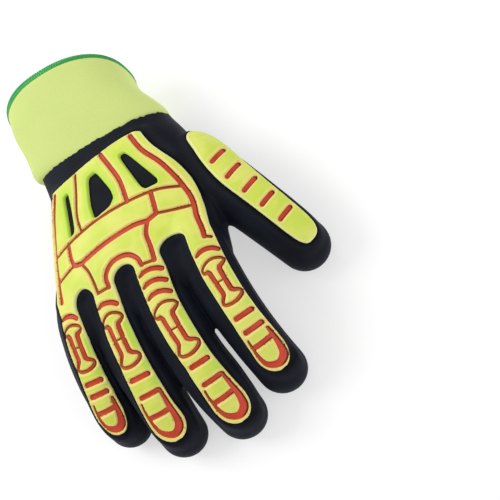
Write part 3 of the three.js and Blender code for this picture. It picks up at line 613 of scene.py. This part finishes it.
plateGrooves = [
    ("wide", [[0.187, 0.15], [0.215, 0.28], [0.27, 0.41], [0.305, 0.54], [0.32, 0.625]]),
    ("wide", [[0.32, 0.625], [0.328, 0.7], [0.324, 0.772], [0.317, 0.851], [0.316, 0.925], [0.309, 0.987]]),
    ("narrow", [[0.309, 0.987], [0.335, 1.006]]),
    ("wide", [[0.005, 0.155], [0.03, 0.28], [0.045, 0.39], [0.035, 0.532]]),
    ("narrow", [[-0.167, 0.175], [-0.2, 0.28], [-0.25, 0.42], [-0.262, 0.531]]),
    ("wide", [[-0.335, 0.2], [-0.41, 0.35], [-0.475, 0.53], [-0.51, 0.67], [-0.545, 0.83]]),
    ("narrow", [[-0.48, 0.556], [-0.31, 0.535], [-0.13, 0.522], [0.04, 0.535], [0.2, 0.567], [0.32, 0.625]]),
    ("wide", [[0.165, 0.56], [0.15, 0.66], [0.142, 0.7]]),
    ("wide", [[0.142, 0.7], [0.085, 0.712]]),
    ("narrow", [[0.142, 0.7], [0.22, 0.732], [0.325, 0.765]]),
    ("wide", [[0.085, 0.712], [0, 0.688], [-0.17, 0.685], [-0.337, 0.705]]),
    ("wide", [[-0.365, 0.545], [-0.383, 0.64], [-0.378, 0.685], [-0.337, 0.705]]),
    ("narrow", [[-0.378, 0.685], [-0.515, 0.712]]),
    ("narrow", [[-0.337, 0.705], [-0.318, 0.78], [-0.318, 0.86], [-0.325, 0.93]]),
    ("narrow", [[-0.325, 0.93], [-0.257, 0.935]]),
    ("wide", [[-0.257, 0.935], [-0.245, 0.87], [-0.2, 0.825], [-0.145, 0.812], [-0.085, 0.83], [-0.048, 0.88],
              [-0.04, 0.935]]),
    ("narrow", [[-0.04, 0.935], [0.025, 0.945]]),
    ("wide", [[0.025, 0.945], [0.04, 0.86], [0.05, 0.78], [0.085, 0.712]]),
]
# Shares of a joint's length and of the strip's half width, with the line's width in millimetres.
boneCap = [[0.21, -0.52, 2.2], [0.215, -0.7, 2.0], [0.19, -0.82, 1.8], [0.14, -0.84, 1.6], [0.075, -0.66, 1.6],
           [0.015, -0.3, 1.7], [0, 0.1, 1.8], [0.03, 0.48, 1.8], [0.075, 0.76, 1.7], [0.13, 0.84, 1.7],
           [0.18, 0.62, 2.2], [0.22, 0.34, 2.7]]
boneNecks = [[[0.21, -0.52, 2.3], [0.26, -0.44, 2.9], [0.465, -0.41, 2.9], [0.5, -0.41, 2.0], [0.535, -0.4, 2.9],
              [0.74, -0.37, 2.9], [0.78, -0.4, 2.7]],
             [[0.22, 0.34, 2.7], [0.27, 0.27, 2.9], [0.465, 0.26, 2.9], [0.5, 0.26, 2.0], [0.535, 0.26, 2.9],
              [0.74, 0.26, 2.9]]]
boneWaist = [[0.5, -0.41, 1.0], [0.495, 0.26, 1.0]]
boneFoot = [[0.74, 0.26, 3.0], [0.79, 0.42, 2.6], [0.83, 0.72, 2.0], [0.88, 0.82, 1.8], [0.94, 0.66, 2.1],
            [0.99, 0.2, 2.2], [1, -0.25, 2.1], [0.975, -0.62, 2.0], [0.92, -0.74, 2.0], [0.85, -0.58, 2.3],
            [0.78, -0.4, 2.6]]
tipArms = [[0, -0.76, 1.5], [0.3, -0.79, 1.9], [0.6, -0.74, 2.7], [0.82, -0.56, 3.4], [0.95, -0.04, 4.0],
           [0.87, 0.44, 4.2], [0.66, 0.62, 3.6], [0.33, 0.69, 2.6], [0, 0.71, 1.9]]
# Rise in millimetres, share of the half width, share of the bar's width.
chevronLine = [[1.3, -0.76, 0.65], [0.25, -0.45, 0.9], [0.1, 0, 0.95], [1.1, 0.45, 0.95], [2.8, 0.78, 0.9]]
barHalf = 0.6
farAway = 1e9


def plan(points):
    spots = np.array(points, float)
    return np.stack([spots[:, 0] * hand["width"], hand["wristLine"] - spots[:, 1] * hand["palmLength"]], axis=1)


def stripSides(row, at):
    return [np.interp(at, stripStations, row[key]) * guardSizes["stripHalf"] for key in ("thumbSide", "pinkySide")]


def stripPlan(row, places):
    # places: millimetres along the finger and shares of the half width across its strip
    places = np.array(places, float)
    thumbSide, pinkySide = stripSides(row, places[:, 0] / row["length"])
    across = (thumbSide - pinkySide) / 2 + places[:, 1] * (thumbSide + pinkySide) / 2
    turn = math.radians(90 - row["roll"]) - across / (row["width"] / 2 + 4)
    return fingerFace(row, places[:, 0] / row["length"], turn, hand["guardTop"])[:, :2]


def stripEdge(row, side):
    g = guardSizes
    start = row["tip"][1] * row["length"] + g["stripRim"] - g["capReach"]
    straight = [at * row["length"] for at in stripStations if at * row["length"] < start - g["stripRim"]]
    runs = np.append(straight, start + np.array(stripCap["run"]) * g["capReach"])
    sizes = np.append(np.ones(len(straight)), stripCap["size"])
    return stripPlan(row, smoothLine(np.stack([runs, side * sizes], axis=1), 4))


def slotArc(start, end, top):
    middle = (start + end) / 2
    rise = hand["wristLine"] - top * hand["palmLength"] - middle[1]
    angles = np.linspace(0, math.pi, 21)[1:-1]
    return np.array([middle + (start - middle) * math.cos(a) + [0, rise * math.sin(a)] for a in angles])


def guardOutline():
    outline = [smoothLine(plan(plateTop), 6)[:-1], smoothLine(plan(plateThumbSide), 6)]
    for i, row in enumerate(fingerRows):
        pinkySide = stripEdge(row, -1)
        outline += [stripEdge(row, 1), pinkySide[::-1]]
        if i < len(slotTops):
            outline.append(slotArc(pinkySide[0], stripEdge(fingerRows[i + 1], 1)[0], slotTops[i]))
    outline.append(smoothLine(plan(platePinkySide), 6)[:-1])
    return np.vstack(outline)


def roundedWindow(points):
    # corners cut twice, so that the window's corners are round
    spots = plan(points)
    for _ in range(2):
        ahead = np.roll(spots, -1, axis=0)
        spots = np.stack([spots * 0.86 + ahead * 0.14, spots * 0.14 + ahead * 0.86], axis=1).reshape(-1, 2)
    return spots


def nearSegment(points, a, b, reach=8):
    # the points in a box about the segment from a to b, their distances to it and their shares along it
    near = np.where(np.all((points > np.minimum(a, b) - reach) & (points < np.maximum(a, b) + reach), axis=1))[0]
    step = b - a
    t = np.clip(((points[near] - a) @ step) / max(step @ step, 1e-12), 0, 1)
    return near, np.linalg.norm(points[near] - a - t[:, None] * step, axis=1), t


def lineDistance(points, line, closed=False):
    best = np.full(len(points), farAway)
    for a, b in zip(line, np.roll(line, -1, axis=0) if closed else line[1:]):
        near, gap, _ = nearSegment(points, a, b)
        best[near] = np.minimum(best[near], gap)
    return best


def insideOf(points, outline):
    ends = np.roll(outline, -1, axis=0)
    inside = np.zeros(len(points), bool)
    for a, b in zip(outline, ends):
        crosses = (a[1] > points[:, 1]) != (b[1] > points[:, 1])
        if crosses.any():
            x = a[0] + (points[:, 1] - a[1]) / (b[1] - a[1] + 1e-30) * (b[0] - a[0])
            inside ^= crosses & (points[:, 0] < x)
    return inside


def areaDistance(points, outline, windows):
    # positive inside the outline and outside its windows
    gap = lineDistance(points, outline, True)
    signed = np.where(insideOf(points, outline), gap, -gap)
    for window in windows:
        hole = lineDistance(points, window, True)
        signed = np.minimum(signed, np.where(insideOf(points, window), -hole, hole))
    return signed


def stripGrooves(row):
    # each groove is a list of lines: points in the plan, with the width at each
    g = guardSizes

    def line(points, steps=5, shift=row["shift"]):
        smooth = smoothLine(points, steps) if len(points) > 2 else smoothLine(points, 8)
        places = smooth[:, :2] + [0, shift]
        return smooth[:, 2], stripPlan(row, places)
    grooves = {}
    for i, at in enumerate(row["chevrons"]):
        x = at * row["length"]
        grooves[f"chevron_{i + 1}"] = [line([[x + a, b, g["bar"] * w] for a, b, w in chevronLine])]
    start, end = [at * row["length"] for at in row["bone"]]
    shapes = [(boneCap, 5), (boneFoot, 5), (boneWaist, 1)] + [(neck, 1) for neck in boneNecks]
    grooves["joint_ring"] = [line([[start + (end - start) * a, b, w] for a, b, w in shape], steps)
                             for shape, steps in shapes]
    for i, at in enumerate(row["bars"]):
        x = at * row["length"]
        grooves[f"bar_{i + 1}"] = [line([[x, -barHalf, g["bar"]], [x, barHalf, g["bar"]]], 5, row["shift"] / 2)]
    start, end = [at * row["length"] for at in row["tip"]]
    closed = row["tipBars"][0] == 0  # a bar closes the U; it stops short of the pinky side's arm
    arms = [[0.13, *tipArms[0][1:]]] + tipArms[1:] if closed else tipArms
    grooves["tip"] = [line([[start + (end - start) * a, b, w] for a, b, w in arms], 8, 0)]
    for run in row["tipBars"]:
        x = start + (end - start) * run
        grooves["tip"].append(line([[x, -0.58 if run == 0 else -0.66, g["wide"]], [x, 0.6, g["wide"]]], 5, 0))
    return grooves


def grooveDistance(points, lines):
    # distance to the edge of the nearest line, less than zero inside it
    best = np.full(len(points), farAway)
    for widths, line in lines:
        for a, b, wa, wb in zip(line[:-1], line[1:], widths[:-1], widths[1:]):
            near, gap, t = nearSegment(points, a, b)
            best[near] = np.minimum(best[near], gap - (wa + (wb - wa) * t) / 2)
    return best


def grooveHalf(points, lines):
    # half the width of the line whose middle is nearest
    best, half = np.full(len(points), farAway), np.zeros(len(points))
    for widths, line in lines:
        for a, b, width in zip(line[:-1], line[1:], widths):
            near, gap, _ = nearSegment(points, a, b, 4)
            closer = near[gap < best[near]]
            half[closer] = width / 2
            best[near] = np.minimum(best[near], gap)
    return half


def slide(points, measure, levels, cell):
    # moves points near a level of a distance on to it, so that the mesh has an edge there
    values = measure(points)
    target = np.array(levels)[np.argmin(np.abs(values[:, None] - np.array(levels)), axis=1)]
    near = np.abs(values - target) < 0.52 * cell
    h = 0.05
    for _ in range(2):
        spots = points[near]
        centre = measure(spots)
        gradX = (measure(spots + [h, 0]) - measure(spots - [h, 0])) / (2 * h)
        gradY = (measure(spots + [0, h]) - measure(spots - [0, h])) / (2 * h)
        size = np.maximum(gradX ** 2 + gradY ** 2, 0.3)
        step = (target[near] - centre) / size
        step = np.clip(step, -0.6 * cell, 0.6 * cell)
        points[near] = spots + np.stack([gradX * step, gradY * step], axis=1)
    return near


def reliefSheet(name, outline, windows, grooves, cell):
    # a grid cut to the outline: its points, its faces with the groove that each is in, and the depths
    g = guardSizes
    low, high = outline.min(axis=0) - 2 * cell, outline.max(axis=0) + 2 * cell
    counts = np.ceil((high - low) / cell).astype(int)
    bpy.ops.mesh.primitive_grid_add(x_subdivisions=int(counts[0]), y_subdivisions=int(counts[1]), size=1)
    grid = bpy.context.object
    grid.name = name
    co = readPoints(grid)
    points = low + (co[:, :2] + 0.5) * counts * cell
    quads = np.zeros(len(grid.data.polygons) * 4, np.int64)
    grid.data.polygons.foreach_get("vertices", quads)
    quads = quads.reshape(-1, 4)

    def edgeOf(spots):
        return areaDistance(spots, outline, windows)
    allLines = [line for lines in grooves.values() for line in lines]

    def grooveOf(spots):
        return grooveDistance(spots, allLines)
    rough = edgeOf(points)
    kept = np.where(rough > -2 * cell)[0]
    inner = points[kept].copy()
    atEdge = slide(inner, edgeOf, [0], cell)
    free = ~atEdge
    moved = inner[free].copy()
    slide(moved, grooveOf, [0, -g["grooveWall"], g["rim"]], cell)
    inner[free] = moved
    points[kept] = inner
    edge = np.full(len(points), -9.0)
    groove = np.full(len(points), 9.0)
    edge[kept] = edgeOf(points[kept])
    groove[kept] = grooveOf(points[kept])
    # each quad is split along the diagonal that keeps both halves on one side of every edge
    straddles = np.zeros(len(quads), bool)
    for values in (edge, groove, groove + g["grooveWall"]):
        a, c = values[quads[:, 0]], values[quads[:, 2]]
        straddles |= (a * c < -1e-6)
    faces = np.where(straddles[:, None, None], quads[:, [[0, 1, 3], [1, 2, 3]]], quads[:, [[0, 1, 2], [0, 2, 3]]])
    faces = faces.reshape(-1, 3)
    faces = faces[edge[faces].sum(axis=1) > 0.15 * cell]
    faces = faces[edge[faces].min(axis=1) > -0.3 * cell]
    names = list(grooves)
    group = np.full(len(faces), -1)
    sunken = groove[faces].sum(axis=1) < -0.02
    centres = points[faces[sunken]].mean(axis=1)
    gaps = np.array([grooveDistance(centres, grooves[key]) for key in names])
    group[sunken] = np.argmin(gaps, axis=0)
    plateEdge = np.minimum(edge, groove)
    inGroove = np.clip(-groove / g["grooveWall"], 0, 1)
    rim = np.clip(1 - np.maximum(plateEdge, 0) / g["rim"], 0, 1)
    depth = g["rim"] * (1 - np.sqrt(np.maximum(1 - rim ** 2, 0)))
    depth = depth - g["bead"] * np.exp(-((plateEdge - 1.1) / 0.5) ** 2) * (groove > 0)
    depth = depth - g["crown"] * (1 - np.exp(-np.maximum(plateEdge, 0) / 4)) + 0.3
    smooth = inGroove * inGroove * (3 - 2 * inGroove)
    depth = depth + smooth * (g["grooveDepth"] - g["rim"] - 0.3)
    return grid, points, faces, group, depth, edge, groove


def makeMesh(piece, corners, faces, attributes):
    used, index = np.unique(faces, return_inverse=True)
    mesh = bpy.data.meshes.new(piece.name)
    mesh.from_pydata(corners[used].tolist(), [], index.reshape(-1, 3).tolist())
    for key, values in attributes.items():
        layer = mesh.attributes.new(key, "FLOAT", "POINT")
        layer.data.foreach_set("value", values[used].astype(np.float32))
    old = piece.data
    piece.data = mesh
    bpy.data.meshes.remove(old)


def borderEdges(faces):
    edges = np.vstack([faces[:, [0, 1]], faces[:, [1, 2]], faces[:, [2, 0]]])
    key = np.sort(edges, axis=1)
    _, first, counts = np.unique(key, axis=0, return_index=True, return_counts=True)
    return edges[first[counts == 1]]


def heightMap(form, toWorld, low, high, cell):
    # the form's height over a plan, smoothed, as a function of plan points in millimetres
    deps = bpy.context.evaluated_depsgraph_get()
    tree = BVHTree.FromObject(form, deps)
    counts = np.ceil((high - low) / cell).astype(int) + 1
    origin, axisX, axisY, axisZ = toWorld
    heights = np.full(counts, np.nan)
    for i in range(counts[0]):
        for j in range(counts[1]):
            x, y = low[0] + i * cell, low[1] + j * cell
            start = origin + (axisX * x + axisY * y + axisZ * 120) / 1000
            hit = tree.ray_cast(Vector(start), Vector(-axisZ))
            if hit[0] is not None:
                heights[i, j] = (np.array(hit[0]) - origin) @ axisZ * 1000
    for _ in range(60):  # fill what the rays miss from the neighbours
        empty = np.isnan(heights)
        if not empty.any():
            break
        padded = np.pad(heights, 1, constant_values=np.nan)
        around = np.stack([padded[:-2, 1:-1], padded[2:, 1:-1], padded[1:-1, :-2], padded[1:-1, 2:]])
        known = ~np.isnan(around)
        total = np.where(known, around, 0).sum(axis=0)
        heights = np.where(empty & known.any(axis=0), total / np.maximum(known.sum(axis=0), 1), heights)
    heights = np.nan_to_num(heights, nan=np.nanmean(heights))

    def sample(spots):
        place = (spots - low) / cell
        place = np.clip(place, 0, np.array(counts) - 1.001)
        i, j = place.astype(int).T
        u, v = (place - place.astype(int)).T
        return ((1 - u) * (1 - v) * heights[i, j] + u * (1 - v) * heights[i + 1, j]
                + (1 - u) * v * heights[i, j + 1] + u * v * heights[i + 1, j + 1])
    return sample


def layOn(sample, points, depth, toWorld):
    origin, axisX, axisY, axisZ = toWorld
    h = 0.6
    z = sample(points)
    slopeX = (sample(points + [h, 0]) - sample(points - [h, 0])) / (2 * h)
    slopeY = (sample(points + [0, h]) - sample(points - [0, h])) / (2 * h)
    normal = unit(np.stack([-slopeX, -slopeY, np.ones(len(points))], axis=1))
    spots = np.stack([points[:, 0], points[:, 1], z], axis=1) - normal * depth[:, None]
    return origin + (spots[:, :1] * axisX + spots[:, 1:2] * axisY + spots[:, 2:] * axisZ) / 1000


def makeGuard(name, outline, windows, grooves, form, toWorld, cell, nodes, shadeTintOf):
    g = guardSizes
    sample = heightMap(form, toWorld, outline.min(axis=0) - 3, outline.max(axis=0) + 3, 0.8)
    grid, points, faces, group, depth, edge, groove = reliefSheet(name, outline, windows, grooves, cell)
    tops = layOn(sample, points, depth, toWorld)
    allLines = [line for lines in grooves.values() for line in lines]
    halfWidth = np.zeros(len(points))
    inside = np.where(groove < 0.05)[0]
    halfWidth[inside] = grooveHalf(points[inside], allLines)
    # side: which wall of its groove a point lies next to, so that the thumb-side edge gets the darker painted shade
    side = np.zeros(len(points))
    spots = points[inside]
    ahead = np.array([toWorld[1][0], toWorld[2][0]]) * 0.1
    side[inside] = (grooveDistance(spots + ahead, allLines) - grooveDistance(spots - ahead, allLines)) / 0.2
    pieces = []
    for k, key in enumerate(grooves):
        own = faces[group == k]
        if len(own) == 0:
            continue
        inlay = grid.copy()
        inlay.data = grid.data.copy()
        inlay.name = nodes[key].replace("_", "") + "Red"
        bpy.context.collection.objects.link(inlay)
        makeMesh(inlay, tops, own, {"edge": np.abs(groove), "width": halfWidth, "side": side})
        register(inlay, "groove", nodes[key])
        pieces.append(inlay)
    own = faces[group == -1]
    edges = borderEdges(own)
    rim = np.unique(edges)
    # edge feeds the painted highlight on the outer rim, tint the painted shade
    outer = np.where(np.minimum(edge, groove) < 9, areaDistance(points, outline, []), 9)
    attributes = {"edge": np.maximum(outer, 0), "groove": np.maximum(groove, 0), "depth": np.maximum(depth, 0),
                  "shadeTint": shadeTintOf(points)}
    corners = tops
    count = len(points)
    walls = []
    previous = {v: v for v in rim}
    for step in (0.35, 1.0):
        fresh = {v: count + i for i, v in enumerate(rim)}
        below = depth[rim] + (g["wallDepth"] - depth[rim]) * step
        corners = np.vstack([corners, layOn(sample, points[rim], below, toWorld)])
        for key in attributes:
            attributes[key] = np.append(attributes[key], below if key == "depth" else attributes[key][rim])
        for a, b in edges:
            walls.append([previous[a], fresh[a], previous[b]])
            walls.append([previous[b], fresh[a], fresh[b]])
        previous = fresh
        count += len(rim)
    makeMesh(grid, corners, np.vstack([own, np.array(walls)]), attributes)
    register(grid, "rubber", nodes["guard"])
    return grid, pieces


def flatPlan():
    return toFrame([0, 0, 0]), np.array([1.0, 0, 0]), np.array([0, 1.0, 0]), np.array([0, 0, 1.0])


def paintedShadeTint(points):
    # painted shade, greener where the rubber lies in shade: the thumb side of the finger strips and round the two
    # windows on the pinky side
    shadeTint = np.zeros(len(points))
    for row, reach in zip(fingerRows, (0.3, 0.75, 0.9, 0.9)):
        side = stripEdge(row, 1)
        gap = lineDistance(points, side[6:-26])
        shadeTint = np.maximum(shadeTint, reach * np.clip(1.35 - gap / 5, 0, 1))
    for window, reach in zip(plateWindows, (0.4, 0.8, 0.85)):
        shadeTint = np.maximum(shadeTint, reach * np.clip(1.3 - lineDistance(points, roundedWindow(window), True) / 4.5, 0, 1))
    return shadeTint


def makeBackGuard(topForm):
    lines = [(guardSizes[width], smoothLine(plan(line), 6)) for width, line in plateGrooves]
    grooves = {"hand_groove_floor": [(np.full(len(line), width), line) for width, line in lines]}
    for row in fingerRows:
        for key, lines in stripGrooves(row).items():
            grooves[f"{row['name']}_{key}"] = lines
    nodes = {key: key for key in grooves}
    nodes["guard"] = "back_guard"
    windows = [roundedWindow(window) for window in plateWindows]
    return makeGuard("backGuard", guardOutline(), windows, grooves, topForm, flatPlan(), guardSizes["cell"], nodes,
                     paintedShadeTint)


# Thumb guard: inner and outer are shares of the thumb's width from its middle line.
thumbGuardRows = {
    "at": [-0.12, -0.09, 0, 0.1, 0.22, 0.36, 0.6, 0.8, 0.93, 1.02, 1.07],
    "inner": [0.24, 0.15, 0.04, -0.07, -0.16, -0.215, -0.24, -0.27, -0.29, -0.28, -0.2],
    "outer": [0.35, 0.45, 0.56, 0.59, 0.545, 0.46, 0.365, 0.295, 0.25, 0.175, 0.03],
}


def thumbGuardPlan():
    tangent = unit(fingerPoint(thumbRow, np.array(0.51)) - fingerPoint(thumbRow, np.array(0.49)))
    across = unit(-np.cross(tangent, [0, 0, 1]))
    up = np.cross(tangent, across)
    up = up if up[2] > 0 else -up
    roll = math.radians(thumbRow["roll"])
    out = up * math.cos(roll) + across * math.sin(roll)
    sideways = across * math.cos(roll) - up * math.sin(roll)
    root = fingerPoint(thumbRow, np.array(0.0))
    flipped = np.cross(tangent, sideways) @ out < 0  # the plan stays right-handed, so that faces point out

    def place(at, side):
        at, side = np.asarray(at, float), np.asarray(side, float)
        middle = fingerPoint(thumbRow, np.minimum(at, 1))
        ahead = unit(fingerPoint(thumbRow, np.clip(at, 0, 1) + 0.01) - fingerPoint(thumbRow, np.clip(at, 0, 1) - 0.01))
        middle = middle + ahead * (np.maximum(at - 1, 0) * thumbRow["length"])[:, None] - root
        spots = [middle @ tangent, middle @ sideways + side]
        return np.stack(spots[::-1] if flipped else spots, axis=1)
    at = np.array(thumbGuardRows["at"])
    sides = [np.array(thumbGuardRows[key]) * thumbRow["width"] for key in ("outer", "inner")]
    outline = smoothLine(np.vstack([place(at, sides[0]), place(at[::-1], sides[1][::-1])]), 5, closed=True)
    grooves = {}
    for i, spot in enumerate(thumbRow["bars"]):
        outer = np.interp(spot, at, sides[0])
        inner = np.interp(spot, at, sides[1])
        middle, half = (outer + inner) / 2, (outer - inner) / 2 * 0.55
        line = place(np.full(7, spot), np.linspace(middle - half, middle + half, 7))
        grooves[f"thumb_bar_{i + 1}"] = [(np.full(len(line), guardSizes["bar"]), line)]
    axes = (sideways, tangent) if flipped else (tangent, sideways)
    return outline, grooves, (toFrame(root), axes[0], axes[1], out)


def makeThumbGuard(topForm):
    outline, grooves, toWorld = thumbGuardPlan()
    nodes = {key: key for key in grooves}
    nodes["guard"] = "thumb_guard"
    # the thumb guard gets no painted shade
    return makeGuard("thumbGuard", outline, [], grooves, topForm, toWorld, guardSizes["cell"], nodes,
                     lambda points: np.zeros(len(points)))


shell = makeShell()
print("shell made", len(shell.data.vertices))
cuff = makeCuff()
hem = makeHem()
print("cuff and hem made")
topForm = handForm("guardForm", hand["guardTop"], 1.3, 0)
guard, inlays = makeBackGuard(topForm)
print("back guard made", len(guard.data.polygons), "faces,", len(inlays), "red floors")
thumbGuard, _ = makeThumbGuard(topForm)
print("thumb guard made", len(thumbGuard.data.polygons))
bpy.data.objects.remove(topForm)


# Floor, light and camera.
studio = {"floorSize": 6.0, "floorColour": (0.5, 0.5, 0.5, 1), "floorGlow": 0.54,
          "lamps": [("key", (-0.8, 0.6, 0.95), 11, 0.8), ("fill", (1.0, -0.6, 0.8), 6, 1.0),
                    ("rim", (0.2, 1.2, 0.7), 2.5, 0.7)], "world": 0.5}
view = {"azimuth": 46.6, "elevation": 63.4, "down": 27.0, "distance": 1.0, "target": (0, -20, 40),
        "lens": 123.05, "aim": (100, 10), "focal": 1709}


def makeStudio():
    bpy.ops.mesh.primitive_plane_add(size=studio["floorSize"], location=(0, 0, 0))
    floor = bpy.context.object
    floor.name = "floor"
    finish = Finish("paleFloor", Roughness=0.9)
    finish.put("Base Color", studio["floorColour"])
    finish.put("Emission Color", (1, 1, 1, 1))
    finish.put("Emission Strength", studio["floorGlow"])
    floor.data.materials.append(finish.material)
    world = bpy.data.worlds.new("studio")
    bpy.context.scene.world = world
    world.use_nodes = True
    world.node_tree.nodes["Background"].inputs[0].default_value = (1, 1, 1, 1)
    world.node_tree.nodes["Background"].inputs[1].default_value = studio["world"]
    for name, place, power, size in studio["lamps"]:
        bpy.ops.object.light_add(type="AREA", location=place)
        lamp = bpy.context.object
        lamp.name = name
        lamp.data.energy = power
        lamp.data.size = size
        lamp.rotation_euler = Vector(place).to_track_quat("Z", "Y").to_euler()


def makeCamera():
    a, e = math.radians(view["azimuth"]), math.radians(view["elevation"])
    back = Vector((math.sin(a) * math.cos(e), -math.cos(a) * math.cos(e), math.sin(e)))
    fingers = Vector((0, -1, 0))
    flat = (fingers - fingers.dot(back) * back).normalized()
    side = -flat.cross(back)
    t = math.radians(view["down"])
    down = math.cos(t) * flat - math.sin(t) * side
    right = math.sin(t) * flat + math.cos(t) * side
    if right.cross(-down).dot(back) < 0:
        down = math.cos(t) * flat + math.sin(t) * side
        right = math.sin(t) * flat - math.cos(t) * side
    eye = Vector(toFrame(view["target"])) + back * view["distance"]
    forward = (right * view["aim"][0] + down * view["aim"][1]) / view["focal"] - back
    forward.normalize()
    xAxis = (right - right.dot(forward) * forward).normalized()
    yAxis = xAxis.cross(forward).normalized()
    if yAxis.dot(-down) < 0:
        yAxis = -yAxis
    bpy.ops.object.camera_add(location=eye)
    camera = bpy.context.object
    turned = Matrix((xAxis, yAxis, -forward)).transposed()
    camera.matrix_world = Matrix.Translation(eye) @ turned.to_4x4()
    camera.data.lens = view["lens"]
    camera.data.sensor_width = 36
    camera.data.clip_start, camera.data.clip_end = 0.05, 20
    bpy.context.scene.camera = camera


makeStudio()
makeCamera()
bpy.context.scene.view_settings.view_transform = "Standard"
print("studio and camera made")
